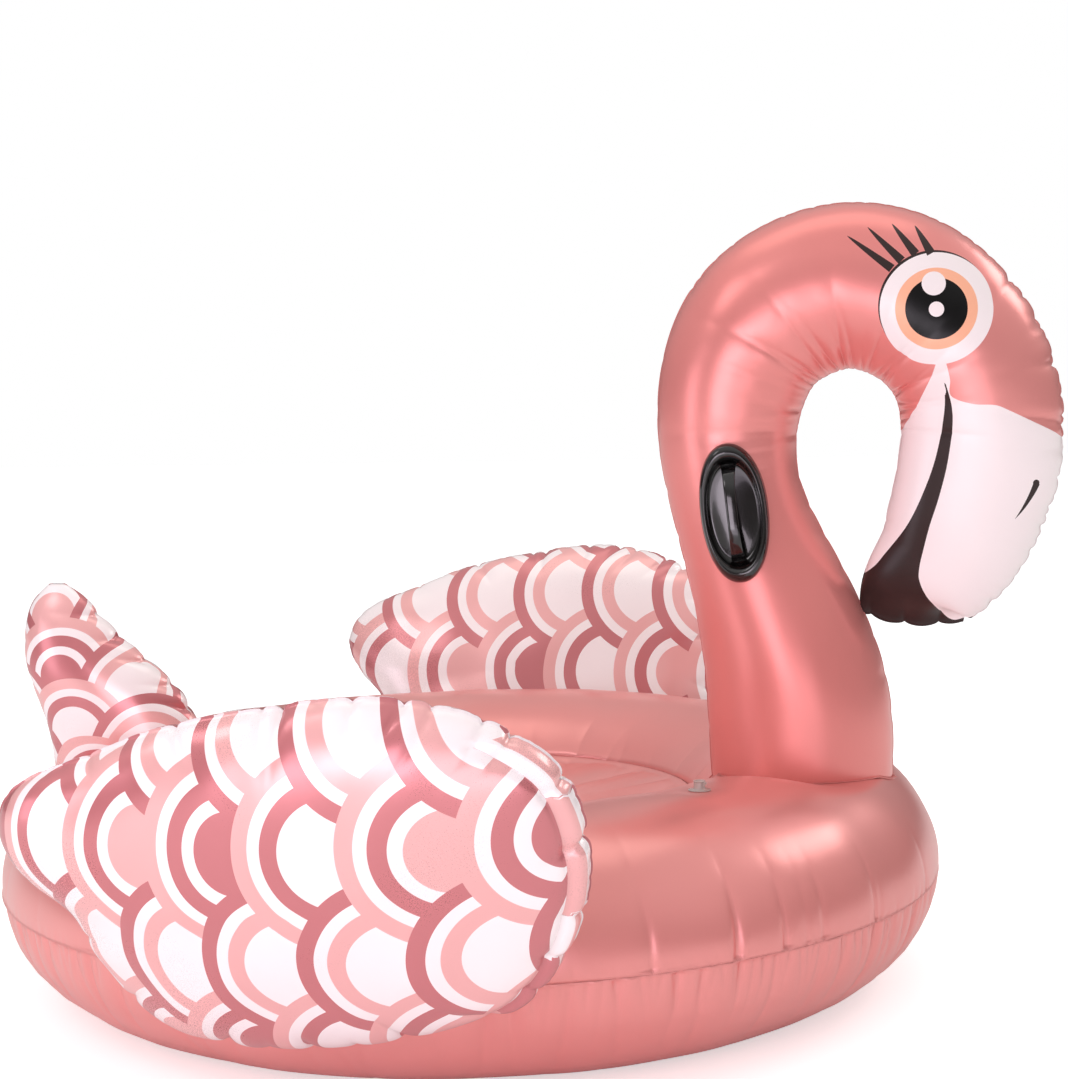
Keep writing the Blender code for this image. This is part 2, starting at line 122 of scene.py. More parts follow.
def natural_spline(knots, values, where):
    """A natural cubic spline through values at knots, and its slope."""
    knots, values = np.asarray(knots, float), np.asarray(values, float)
    count, gap = len(knots), np.diff(knots)
    system, target = np.eye(count), np.zeros_like(values)
    for i in range(1, count - 1):
        system[i, i - 1:i + 2] = gap[i - 1], 2 * (gap[i - 1] + gap[i]), gap[i]
        behind, ahead = ((values[j + 1] - values[j]) / gap[j] for j in (i - 1, i))
        target[i] = 3 * (ahead - behind)
    bend = np.linalg.solve(system, target)
    i = np.clip(np.searchsorted(knots, where, side="right") - 1, 0, count - 2)
    g, t = gap[i][:, None], (where - knots[i])[:, None]
    first = (values[i + 1] - values[i]) / g - g * (2 * bend[i] + bend[i + 1]) / 3
    cube = (bend[i + 1] - bend[i]) / (3 * g)
    return (
        values[i] + first * t + bend[i] * t**2 + cube * t**3,
        first + 2 * bend[i] * t + 3 * cube * t**2,
    )


def through(points, count, closed=False):
    """Evenly many points on a Catmull-Rom curve through the given ones."""
    given = np.asarray(points, float)
    if not closed:
        given = np.concatenate([given[:1], given, given[-1:]])
    spans = len(points) if closed else len(points) - 1
    place = np.arange(count) * spans / count if closed else np.linspace(0, spans, count)
    i = np.minimum(place.astype(int), spans - 1)
    t = (place - i)[:, None]
    if closed:
        a, b, c, d = (given[(i + j) % len(given)] for j in (-1, 0, 1, 2))
    else:
        a, b, c, d = (given[i + j] for j in (0, 1, 2, 3))
    return (
        b + (c - a) * (t / 2) + (2 * a - 5 * b + 4 * c - d) * (t**2 / 2)
        + (3 * b - a - 3 * c + d) * (t**3 / 2)
    )


def even(points, count):
    """The closed curve through points again, with evenly spaced points."""
    loop = np.concatenate([points, points[:1]])
    run = path_length(loop)
    where = np.arange(count) * run[-1] / count
    return np.stack([np.interp(where, run, loop[:, k]) for k in range(loop.shape[1])], 1)


def inside_by(places, outline):
    """How far each place lies inside a closed outline; outside is negative."""
    nearest = np.full(places.shape[:-1], np.inf)
    crossings = np.zeros(places.shape[:-1], int)
    for a, b in zip(outline, np.roll(outline, -1, axis=0)):
        edge, rel = b - a, places - a
        share = np.clip((rel @ edge) / max(edge @ edge, 1e-12), 0, 1)
        nearest = np.minimum(nearest, np.linalg.norm(rel - share[..., None] * edge, axis=-1))
        if a[1] != b[1]:
            spans = (places[..., 1] < a[1]) != (places[..., 1] < b[1])
            border = a[0] + (places[..., 1] - a[1]) * edge[0] / edge[1]
            crossings += spans & (places[..., 0] < border)
    return np.where(crossings % 2 == 1, nearest, -nearest)


# Creases


def crease_row(seed, start, stop, spacing, depth, reach, width, lean=0.25):
    """Creases across a seam: (place along it, depth, reach into the film, width, lean)."""
    rng = np.random.default_rng(seed)
    count = max(1, round((stop - start) / spacing))
    slots = np.arange(count) + 0.5 + rng.uniform(-0.36, 0.36, count)
    place = start + slots * (stop - start) / count
    size = rng.uniform(0.45, 1.5, (3, count))
    return np.stack([
        place, depth * size[0], reach * size[1], width * np.sqrt(size[2]),
        rng.uniform(-lean, lean, count),
    ], 1)


def drawn_in(run, distance, creases, loop=0.0):
    """How far sharp creases pull the film in, at a run along its seam and a distance from it."""
    total = np.zeros(run.shape)
    for place, depth, reach, width, lean in creases:
        gap = run - place - lean * distance
        if loop:
            gap = (gap + loop / 2) % loop - loop / 2
        far = distance / reach
        total += depth * np.exp(-np.abs(gap) / (width * (1 + far)) - far**2)
    return total


def without_trend(amount, rows=27):
    """Only the quick changes of an amount along its seam."""
    share = np.hanning(rows + 2)[1:-1]
    share /= share.sum()
    padded = np.pad(amount, ((rows // 2, rows // 2), (0, 0)), mode="edge")
    return amount - sum(padded[i:i + len(amount)] * part for i, part in enumerate(share))


def swell(seed, places, length, height, waves=14):
    """Slow unevenness of a film: a few crossing waves of about this length."""
    rng = np.random.default_rng(seed)
    total = np.zeros(places.shape[:-1])
    for _ in range(waves):
        way = rng.normal(size=3)
        way *= 2 * math.pi / (length * rng.uniform(0.6, 1.8) * np.linalg.norm(way))
        total += np.sin(places @ way + rng.uniform(0, 2 * math.pi))
    return height * total / math.sqrt(waves)


def around(angle, radius=1.0, height=0.0):
    """Points at an angle round Z."""
    return np.stack(np.broadcast_arrays(radius * np.cos(angle), radius * np.sin(angle), height), -1)


def grid_normals(points, outwards, wrap=False):
    """Normals of a grid of points, all on the side that outwards points to."""
    across = np.gradient(points, axis=1)
    if wrap:
        across = np.roll(points, -1, axis=1) - np.roll(points, 1, axis=1)
    normals = unit(np.cross(np.gradient(points, axis=0), across))
    return normals * np.sign((normals * outwards).sum())


# Pieces


def add(name, mesh, material, node, body="float"):
    obj = bpy.data.objects.new(name, mesh)
    bpy.context.scene.collection.objects.link(obj)
    mesh.materials.clear()
    mesh.materials.append(material)
    mesh.shade_smooth()
    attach(obj, body)
    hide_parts(node)
    return obj


def quads_of(rows, columns, wrap=False, loop=False):
    """The quads of a grid. Wrap joins its last column to the first, and loop its last row."""
    index = np.arange(rows * columns).reshape(rows, columns)
    if loop:
        index = np.concatenate([index, index[:1]])
    right = np.roll(index, -1, axis=1)
    if not wrap:
        index, right = index[:, :-1], right[:, :-1]
    return np.stack([index[:-1], right[:-1], right[1:], index[1:]], -1).reshape(-1, 4)


def grid_mesh(name, points, outwards, wrap=False, tip=None, values=None, drop=None):
    """A sheet from a grid of points, facing outwards; tip closes its last row on one point."""
    rows, columns = points.shape[:2]
    quads = quads_of(rows, columns, wrap)
    flat = points.reshape(-1, 3)
    if drop is not None:
        quads = quads[~drop.reshape(-1)[quads].all(axis=1)]
    corner = flat[quads]
    normal = np.cross(corner[:, 2] - corner[:, 0], corner[:, 3] - corner[:, 1])
    wanted = np.broadcast_to(outwards, points.shape).reshape(-1, 3)[quads[:, 0]]
    flip = (normal * wanted).sum() < 0
    faces = quads[:, ::-1].tolist() if flip else quads.tolist()
    if tip is not None:
        last = np.arange(len(flat) - columns, len(flat))
        fan = np.stack([last, np.roll(last, -1), np.full(columns, len(flat))], -1)
        faces += (fan[:, ::-1] if flip else fan).tolist()
        flat = np.concatenate([flat, [tip]])
    mesh = bpy.data.meshes.new(name)
    mesh.from_pydata(flat.tolist(), [], faces)
    for key, data in (values or {}).items():
        data = np.asarray(data, float).reshape(rows * columns, -1)
        if tip is not None:
            data = np.concatenate([data, data[-columns:].mean(axis=0, keepdims=True)])
        kind, field = ("FLOAT", "value") if data.shape[1] == 1 else ("FLOAT_VECTOR", "vector")
        mesh.attributes.new(key, kind, "POINT").data.foreach_set(field, data.ravel())
    return mesh


def thickened(obj):
    film = obj.modifiers.new("film", "SOLIDIFY")
    film.thickness = FILM
    film.offset = -1.0


def film_piece(name, mesh, material, node):
    obj = add(name, mesh, material, node)
    thickened(obj)


# Shader maths


class Sum:
    """A number that a material's nodes work out."""

    def __init__(self, tree, socket):
        self.tree, self.socket = tree, socket

    def do(self, operation, *others):
        node = self.tree.nodes.new("ShaderNodeMath")
        node.operation = operation
        for socket, item in zip(node.inputs, (self, *others)):
            if isinstance(item, Sum):
                self.tree.links.new(item.socket, socket)
            else:
                socket.default_value = item
        return Sum(self.tree, node.outputs[0])

    def __add__(self, other): return self.do("ADD", other)
    def __sub__(self, other): return self.do("SUBTRACT", other)
    def __mul__(self, other): return self.do("MULTIPLY", other)
    def __truediv__(self, other): return self.do("DIVIDE", other)
    def __lt__(self, other): return self.do("LESS_THAN", other)
    def __gt__(self, other): return self.do("GREATER_THAN", other)
    def over(self, other): return self.do("MAXIMUM", other)
    def inverse(self): return (self * -1.0) + 1.0

    def within(self, low, high):
        """0 at low and below, 1 at high and above, smooth between."""
        node = self.tree.nodes.new("ShaderNodeMapRange")
        node.interpolation_type = "SMOOTHSTEP"
        self.tree.links.new(self.socket, node.inputs["Value"])
        node.inputs["From Min"].default_value = low
        node.inputs["From Max"].default_value = high
        return Sum(self.tree, node.outputs["Result"])


class Look:
    """A new Principled material and the nodes that feed it."""

    def __init__(self, name, **plain):
        self.material = bpy.data.materials.new(name)
        self.material.use_nodes = True
        self.tree = self.material.node_tree
        self.shader = self.tree.nodes["Principled BSDF"]
        for key, value in plain.items():
            self.shader.inputs[key.replace("_", " ")].default_value = value

    def link(self, out, into):
        self.tree.links.new(out, into)

    def attribute(self, name, *parts):
        node = self.tree.nodes.new("ShaderNodeAttribute")
        node.attribute_name = name
        if not parts:
            return Sum(self.tree, node.outputs["Fac"])
        split = self.tree.nodes.new("ShaderNodeSeparateXYZ")
        self.link(node.outputs["Vector"], split.inputs[0])
        return [Sum(self.tree, split.outputs[part]) for part in parts]

    def noise(self, scale, detail=2.0, roughness=0.5, stretch=(1, 1, 1), distortion=0.0):
        place = self.tree.nodes.new("ShaderNodeTexCoord").outputs["Object"]
        if stretch != (1, 1, 1):
            mapping = self.tree.nodes.new("ShaderNodeMapping")
            mapping.inputs["Scale"].default_value = stretch
            self.link(place, mapping.inputs["Vector"])
            place = mapping.outputs["Vector"]
        node = self.tree.nodes.new("ShaderNodeTexNoise")
        self.link(place, node.inputs["Vector"])
        named = {
            "Scale": scale, "Detail": detail, "Roughness": roughness, "Distortion": distortion,
        }
        for key, value in named.items():
            node.inputs[key].default_value = value
        return Sum(self.tree, node.outputs["Fac"])

    def mix(self, share, below, above):
        """A colour: below where share is 0, above where it is 1."""
        node = self.tree.nodes.new("ShaderNodeMix")
        node.data_type = "RGBA"
        self.link(share.socket, node.inputs["Factor"])
        for name, colour in (("A", below), ("B", above)):
            socket = next(s for s in node.inputs if s.name == name and s.type == "RGBA")
            if isinstance(colour, tuple):
                socket.default_value = (*colour, 1.0)
            else:
                self.link(colour, socket)
        return next(s for s in node.outputs if s.type == "RGBA")

    def tint(self, colour, amount):
        """The colour made lighter or darker by a number around 1."""
        node = self.tree.nodes.new("ShaderNodeVectorMath")
        node.operation = "SCALE"
        self.link(colour, node.inputs[0])
        self.link(amount.socket, node.inputs["Scale"])
        return node.outputs["Vector"]

    def colour(self, socket):
        self.link(socket, self.shader.inputs["Base Color"])

    def drive(self, name, number):
        self.link(number.socket, self.shader.inputs[name])

    def bump(self, height):
        """A height in metres."""
        node = self.tree.nodes.new("ShaderNodeBump")
        node.inputs["Distance"].default_value = 1.0
        self.link(height.socket, node.inputs["Height"])
        self.link(node.outputs["Normal"], self.shader.inputs["Normal"])


def srgb(*parts):
    """A linear colour from its sRGB parts."""
    return tuple(c / 12.92 if c <= 0.04045 else ((c + 0.055) / 1.055)**2.4 for c in parts)


ROSE = srgb(0.950, 0.610, 0.590)
ROSE_DEEP = srgb(0.925, 0.555, 0.535)
LIGHT_PINK = srgb(0.960, 0.705, 0.695)
DARK_ROSE = srgb(0.815, 0.475, 0.490)
PRINT_WHITE = srgb(1.000, 0.955, 0.955)
BEAK_WHITE = srgb(0.985, 0.935, 0.935)
INK = srgb(0.200, 0.145, 0.140)
PUPIL = srgb(0.020, 0.020, 0.022)
PEACH = srgb(1.000, 0.720, 0.590)
SCALLOP_RADIUS = 0.115
# In shares of that radius
OUTER_BAND = (0.833, 2.0)
INNER_BAND = (0.535, 0.708)
SCALLOP_DISC = 0.403
SCALLOP_PITCH = 1.2
WELD_RIB_PITCH = 0.0024


def pearl(look):
    """What every film has: fine pearl grain, faint wrinkles and an embossed weld.

    Its height in metres, how light it is, and how rough it is beyond the usual.
    """
    weld, run = look.attribute("weld"), look.attribute("run")
    grain = look.noise(950.0, 2.0)
    cloud = look.noise(5.0, 3.0)
    wrinkle = look.noise(46.0, 3.0, 0.55, distortion=0.8)
    off = wrinkle - 0.5
    crease = (off * off + 0.003).do("SQRT") * 2.0
    band = weld.within(0.0016, 0.0034).inverse()
    ribs = (run * (2 * math.pi / WELD_RIB_PITCH)).do("SINE")
    height = grain * 0.000003 + crease * 0.00007 + (ribs * band * 0.00005) - (band * 0.00018)
    light = (cloud - 0.5) * 0.08 + (grain - 0.5) * 0.04 + 1.0 - band * 0.05
    rough = (cloud - 0.5) * 0.10 + (grain - 0.5) * 0.05 + band * 0.10
    return height, light, rough


def rose_tone(look):
    """The film's two rose tones in soft clouds."""
    return look.mix(look.noise(2.2, 2.0).within(0.35, 0.65), ROSE, ROSE_DEEP)


def rose_look():
    look = Look(
        "rose_gold_film", Metallic=0.35, Coat_Weight=0.20, Coat_Roughness=0.18,
        IOR=1.8, Specular_IOR_Level=0.75,
    )
    height, light, rough = pearl(look)
    colour = rose_tone(look)
    look.colour(look.tint(colour, light))
    look.drive("Roughness", rough + 0.31)
    look.bump(height)
    return look.material


def scallops(look):
    """Which print colour is where: shares of light pink and of dark rose over the white."""
    t, w, depth = look.attribute("print", 0, 1, 2)
    strip_t, strip_w = look.attribute("strip", 0, 1)
    strip = depth > 0.0
    t = t + strip * (strip_t + depth - t)
    w = w + strip * (strip_w - w)
    radius, pitch = SCALLOP_RADIUS, SCALLOP_PITCH * SCALLOP_RADIUS
    columns = []
    for parity in (0, 1):
        shifted = w - parity * pitch
        across = (shifted / (2 * pitch) + 0.5).do("FLOOR") * (-2 * pitch) + shifted
        side = (across * across * -1.0 + radius**2).over(0.0).do("SQRT")
        start = parity * radius / 2
        number = ((t + side - start) / radius).do("FLOOR")
        centre = number * radius + start
        along = t - centre
        reach = (along * along + across * across).do("SQRT") / radius
        columns.append((number, centre, reach, reach < 1.0))
    (number, centre_a, reach_a, in_a), (_, centre_b, reach_b, in_b) = columns
    b_wins = ((centre_b > centre_a) * in_a + in_a.inverse()) * in_b
    a_wins = b_wins.inverse()

    def ring(reach, inner, outer):
        return (reach > inner) * (reach < outer)

    turn = number - (number / 3.0).do("FLOOR") * 3.0
    disc = reach_a < SCALLOP_DISC
    outer_a, outer_b = (ring(reach, *OUTER_BAND) for reach in (reach_a, reach_b))
    inner_a, inner_b = (ring(reach, *INNER_BAND) for reach in (reach_a, reach_b))
    light = (outer_a + disc * ring(turn, 0.5, 1.5)) * a_wins + inner_b * b_wins
    dark = (inner_a + disc * (turn > 1.5)) * a_wins + outer_b * b_wins
    return light, dark


def print_look():
    look = Look(
        "printed_film", Coat_Weight=0.35, Coat_Roughness=0.14, IOR=1.6, Specular_IOR_Level=0.7,
    )
    height, light, rough = pearl(look)
    pink, rose = scallops(look)
    colour = look.mix(rose, look.mix(pink, PRINT_WHITE, LIGHT_PINK), DARK_ROSE)
    look.colour(look.tint(colour, light))
    look.drive("Metallic", (pink * 0.18 + rose * 0.30) + 0.08)
    look.drive("Roughness", rough + 0.29)
    look.bump(height)
    return look.material


def stroke(x, z, start, end, half_width, power, bow=0.0):
    """1 inside a pointed stroke that widens from start and rounds off at end."""
    (ax, az), (bx, bz) = start, end
    length = math.hypot(bx - ax, bz - az)
    ux, uz = (bx - ax) / length, (bz - az) / length
    along = ((x - ax) * ux + (z - az) * uz) / length
    off = (x - ax) * uz - (z - az) * ux
    off = off - (along * along.inverse()) * (4 * bow)
    bound = along.over(0.0).do("POWER", power) * half_width
    return (off.do("ABSOLUTE") < bound) * (along > 0.0) * (along < 1.0)


def disc(x, z, centre, radius):
    dx, dz = x - centre[0], z - centre[1]
    return (dx * dx + dz * dz) < radius**2


def neck_look():
    look = Look(
        "neck_film", Coat_Weight=0.12, Coat_Roughness=0.18, IOR=1.8, Specular_IOR_Level=0.15,
    )
    height, light, rough = pearl(look)
    x, z = look.attribute("profile", 0, 1)
    colour = rose_tone(look)
    white = (look.attribute("beak_white") > 0.0).over(disc(x, z, EYE, EYE_RADIUS))
    ink = look.attribute("beak_black") > 0.0
    # Four lashes, the lid's line, and the nostril
    for tip, base in (
        ((0.513, 0.9615), (0.568, 0.9195)), ((0.538, 0.972), (0.580, 0.929)),
        ((0.568, 0.976), (0.597, 0.937)), ((0.596, 0.973), (0.616, 0.937)),
    ):
        ink = ink.over(stroke(x, z, tip, base, LASH_HALF_WIDTH, 0.62))
    ink = ink.over(disc(x, z, (0.6198, 0.8720), 0.0692) * disc(x, z, EYE, EYE_RADIUS).inverse())
    ink = ink.over(stroke(x, z, (0.717, 0.604), (0.7435, 0.649), 0.0042, 0.8, 0.0022))
    ink = ink.over(disc(x, z, (0.7428, 0.6492), 0.0040))
    colour = look.mix(white, colour, BEAK_WHITE)
    colour = look.mix(disc(x, z, EYE, IRIS_RADIUS), colour, PEACH)
    colour = look.mix(ink, colour, INK)
    colour = look.mix(disc(x, z, EYE, PUPIL_RADIUS), colour, PUPIL)
    glints = disc(x, z, (0.619, 0.900), 0.0148).over(disc(x, z, (0.622, 0.868), 0.0094))
    colour = look.mix(glints, colour, BEAK_WHITE)
    look.colour(look.tint(colour, light))
    plain = white.over(ink).inverse()
    look.drive("Metallic", plain * 0.385 + 0.03)
    look.drive("Roughness", rough + 0.31)
    look.bump(height)
    return look.material


def moulding_look():
    look = Look("black_moulding", Coat_Weight=0.6, Coat_Roughness=0.06, Specular_IOR_Level=0.6)
    grain = look.noise(700.0, 3.0)
    cloud = look.noise(22.0, 3.0)
    colour = look.mix(cloud, srgb(0.012, 0.011, 0.011), srgb(0.045, 0.036, 0.034))
    look.colour(colour)
    look.drive("Roughness", cloud * 0.08 + grain * 0.04 + 0.10)
    look.bump(grain * 0.00002 + cloud * 0.00012)
    return look.material


def clear_look():
    look = Look(
        "clear_moulding", Transmission_Weight=0.55, IOR=1.50, Coat_Weight=0.3, Coat_Roughness=0.05,
    )
    grain = look.noise(500.0, 2.0)
    cloud = look.noise(60.0, 3.0)
    look.colour(look.mix(cloud, srgb(0.97, 0.90, 0.88), srgb(0.93, 0.83, 0.80)))
    look.drive("Roughness", cloud * 0.12 + grain * 0.06 + 0.10)
    look.bump(grain * 0.00003 + cloud * 0.00006)
    return look.material


# Valve places


def tube_point(section, side):
    radius = TUBE_RADIUS + TUBE_HALF_WIDTH * np.cos(section)
    height = RING_MID_HEIGHT + TUBE_HALF_HEIGHT * np.sin(section)
    return around(side, radius, height) + RING_CENTRE_X * X


def ring_valve_frame():
    side = math.radians(-40.5)
    place = Vector((
        RING_CENTRE_X + TUBE_RADIUS * math.cos(side), TUBE_RADIUS * math.sin(side), CREST_HEIGHT,
    ))
    return Matrix.Translation(place) @ Matrix.Rotation(side + math.pi, 4, "Z")


def station_corner(station, angle):
    """A corner of the CAD's left neck sheet at one station."""
    x, z, half_width, half_thickness = NECK_STATIONS[station]
    before, after = NECK_STATIONS[station - 1], NECK_STATIONS[station + 1]
    along = Vector((after[0] - before[0], 0.0, after[1] - before[1]))
    outward = Vector((-along.z, 0.0, along.x)).normalized()
    point = Vector((RING_CENTRE_X + x, 0.0, z)) + outward * half_width * math.cos(angle)
    point.y = half_thickness * math.sin(angle) + SHEET_EDGE_OFFSET
    return point


def neck_valve_frame():
    """On the CAD's facet low on the neck's left side."""
    a, b = 3 * math.pi / 12, 4 * math.pi / 12
    corners = [station_corner(*corner) for corner in ((1, a), (1, b), (2, b), (2, a))]
    place = sum(corners, Vector()) / 4
    outward = (corners[2] - corners[0]).cross(corners[3] - corners[1]).normalized()
    if outward.y < 0:
        outward.negate()
    down = (Vector((0, 0, -1)) + outward * outward.z).normalized()
    turn = Matrix((down, outward.cross(down), outward)).transposed()
    return Matrix.Translation(place) @ turn.to_4x4()


VALVE_FRAMES = {"ring_valve": ring_valve_frame(), "neck_valve": neck_valve_frame()}
HOLE_RADIUS = 0.0080


def seat_valve(points, valve, flat=0.016, blend=0.050):
    """The film flattened onto the valve's plane round an open hole, and the hole's points."""
    place = np.array(VALVE_FRAMES[valve].translation)
    normal = np.array(VALVE_FRAMES[valve].col[2])[:3]
    rel = points - place
    lift = rel @ normal
    level = rel - lift[..., None] * normal
    radius = np.linalg.norm(level, axis=-1)
    near = (np.abs(lift) < 0.04) & (radius < blend)
    press = ease((blend - radius) / (blend - flat)) * near
    points = points - (lift * press)[..., None] * normal
    widened = HOLE_RADIUS + radius * (ROUND_VALVE - HOLE_RADIUS) / ROUND_VALVE
    opened = np.where(near & (radius < ROUND_VALVE), widened, radius)
    points = points + unit(level) * (opened - radius)[..., None]
    return points, near & (radius < 0.0062)


# Ring and seat


LONG_CREASES = [
    (math.radians(360 + side) * (TUBE_RADIUS + TUBE_HALF_WIDTH), depth, reach, 0.0032, lean)
    for side, depth, reach, lean in (
        (-49.8, 0.0075, 0.080, 0.02), (-43.4, 0.0060, 0.070, 0.0), (-37.6, 0.0040, 0.065, 0.03),
        (-60.0, 0.0040, 0.100, -0.03), (-28.0, 0.0030, 0.060, 0.0),
    )
]


def make_ring(material):
    loop = 2 * math.pi * (TUBE_RADIUS + TUBE_HALF_WIDTH)
    inner_loop = 2 * math.pi * INNER_WELD_RADIUS
    for name, first, last, columns, seed in (
        ("ring_upper_panel", OUTER_WELD_ANGLE, INNER_WELD_ANGLE, 1080, 11),
        ("ring_lower_panel", OUTER_WELD_ANGLE, INNER_WELD_ANGLE - 360, 1380, 12),
    ):
        upper = last > first
        near = np.linspace(0, 1, 15)**1.15 * 24 / abs(last - first)
        far = np.linspace(near[-1], 1, 30 if upper else 21)[1:]
        shares = np.concatenate([near, far])
        section = np.radians(first + (last - first) * shares)[:, None]
        side = (np.arange(columns) * 2 * math.pi / columns)[None, :]
        points = tube_point(section, side)
        outwards = np.cos(section)[..., None] * around(side) + np.sin(section)[..., None] * Z
        normals = grid_normals(points, outwards, wrap=True)
        distance = path_length(points)
        to_inner = distance[-1:] - distance
        run = np.broadcast_to(side * loop / (2 * math.pi), distance.shape)
        inner_run = run * inner_loop / loop
        if upper:
            rows = [
                crease_row(21, 0, loop, 0.012, 0.0013, 0.009, 0.0022),
                crease_row(22, 0, loop, 0.170, 0.0014, 0.060, 0.0040, 0.10), LONG_CREASES,
            ]
        else:
            rows = [
                crease_row(24, 0, loop, 0.0135, 0.0034, 0.036, 0.0034),
                crease_row(25, 0, loop, 0.055, 0.0050, 0.095, 0.0065, 0.12),
            ]
        inner = crease_row(23 if upper else 26, 0, inner_loop, 0.050, 0.0016, 0.050, 0.0060)
        amount = sum(drawn_in(run, distance, row, loop) for row in rows)
        amount += drawn_in(inner_run, to_inner, inner, inner_loop)
        settle = ease(distance / 0.0020) * ease(to_inner / 0.012)
        amount = (amount + swell(seed, points, 0.16, 0.0009)) * settle
        points = points - normals * amount[..., None]
        points[..., 2] = np.maximum(points[..., 2], 0.0)
        points = dented(points)
        lip = 0.5 * SEAM_GAP if upper else -0.5 * SEAM_GAP
        points[0, :, 2] += lip
        points[-1, :, 2] += lip
        values = {"weld": np.minimum(distance, to_inner), "run": run}
        drop = None
        if upper:
            points, drop = seat_valve(points, "ring_valve")
        film = name.replace("panel", "film")
        mesh = grid_mesh(film, points, outwards, wrap=True, values=values, drop=drop)
        film_piece(film, mesh, material, name)


def make_seat(material):
    edge = tube_point(np.radians(INNER_WELD_ANGLE), 0.0)
    radius, columns = edge[0] - RING_CENTRE_X - 0.0008, 720
    share = (1 - np.linspace(0, 1, 44)**1.60 * 0.985)[:, None]
    side = (np.arange(columns) * 2 * math.pi / columns)[None, :]
    height = edge[2] - SEAT_SAG * (1 - share**2)
    points = around(side, radius * share, height) + RING_CENTRE_X * X
    distance = np.broadcast_to(radius * (1 - share), points.shape[:2])
    loop = 2 * math.pi * radius
    run = np.broadcast_to(side * radius, points.shape[:2])
    rows = (
        crease_row(31, 0, loop, 0.045, 0.0016, 0.070, 0.0090, 0.5),
        crease_row(32, 0, loop, 0.150, 0.0030, 0.150, 0.0160, 0.5),
    )
    amount = sum(drawn_in(run, distance, row, loop) for row in rows)
    amount += swell(33, points, 0.16, 0.0014)
    points[..., 2] -= amount * ease(distance / 0.012)
    # Its welded edge turns up against the ring, whose side slopes away here.
    lip = 0.0026 * np.exp(-(distance / 0.0045)**2)
    points = points + lip[..., None] * (Z + 0.66 * around(side))
    tip = points[-1].mean(axis=0)
    values = {"weld": distance, "run": run}
    mesh = grid_mesh("seat_floor_sheet", points, Z, wrap=True, tip=tip, values=values)
    obj = add("seat_floor_sheet", mesh, material, "seat_floor")
    thickened(obj)
    2 * radius
    2 * radius
    math.pi * radius**2


# Neck, head and tail


def dented(points, gap=0.0):
    """The weld round the neck's foot stays level and holds the ring's film down there."""
    x, _, half_width, half_thickness = NECK_STATIONS[0]
    forward = points[..., 0] - RING_CENTRE_X - x
    round_foot = np.hypot(forward / half_width, points[..., 1] / half_thickness)
    excess = np.maximum(points[..., 2] - FOOT_LEVEL - gap, 0.0)
    moved = points.copy()
    moved[..., 2] -= excess * (1 - ease((round_foot - 1.04) / 1.1))
    return moved


def on_ring(points, gap=0.0008):
    """The places straight above on the ring's upper side."""
    radius = np.hypot(points[..., 0] - RING_CENTRE_X, points[..., 1])
    across = np.clip((radius - TUBE_RADIUS) / (TUBE_HALF_WIDTH + gap), -0.999, 0.999)
    placed = points.copy()
    placed[..., 2] = RING_MID_HEIGHT + (TUBE_HALF_HEIGHT + gap) * np.sqrt(1 - across**2)
    return dented(placed, gap)


def risen(points, foot, blend):
    """Heights that start on the foot's line and go over to the points' own as blend goes to 1."""
    own = points[..., 2:]
    return foot[..., 2:] * (1 - blend) + own * blend + (own - own[:1]) * blend * (1 - blend)


def repeated(values):
    """The values with their first row twice."""
    return np.concatenate([values[:1], values])


def widen(values):
    """The values with their first and last columns twice."""
    return np.concatenate([values[:, :1], values, values[:, -1:]], 1)


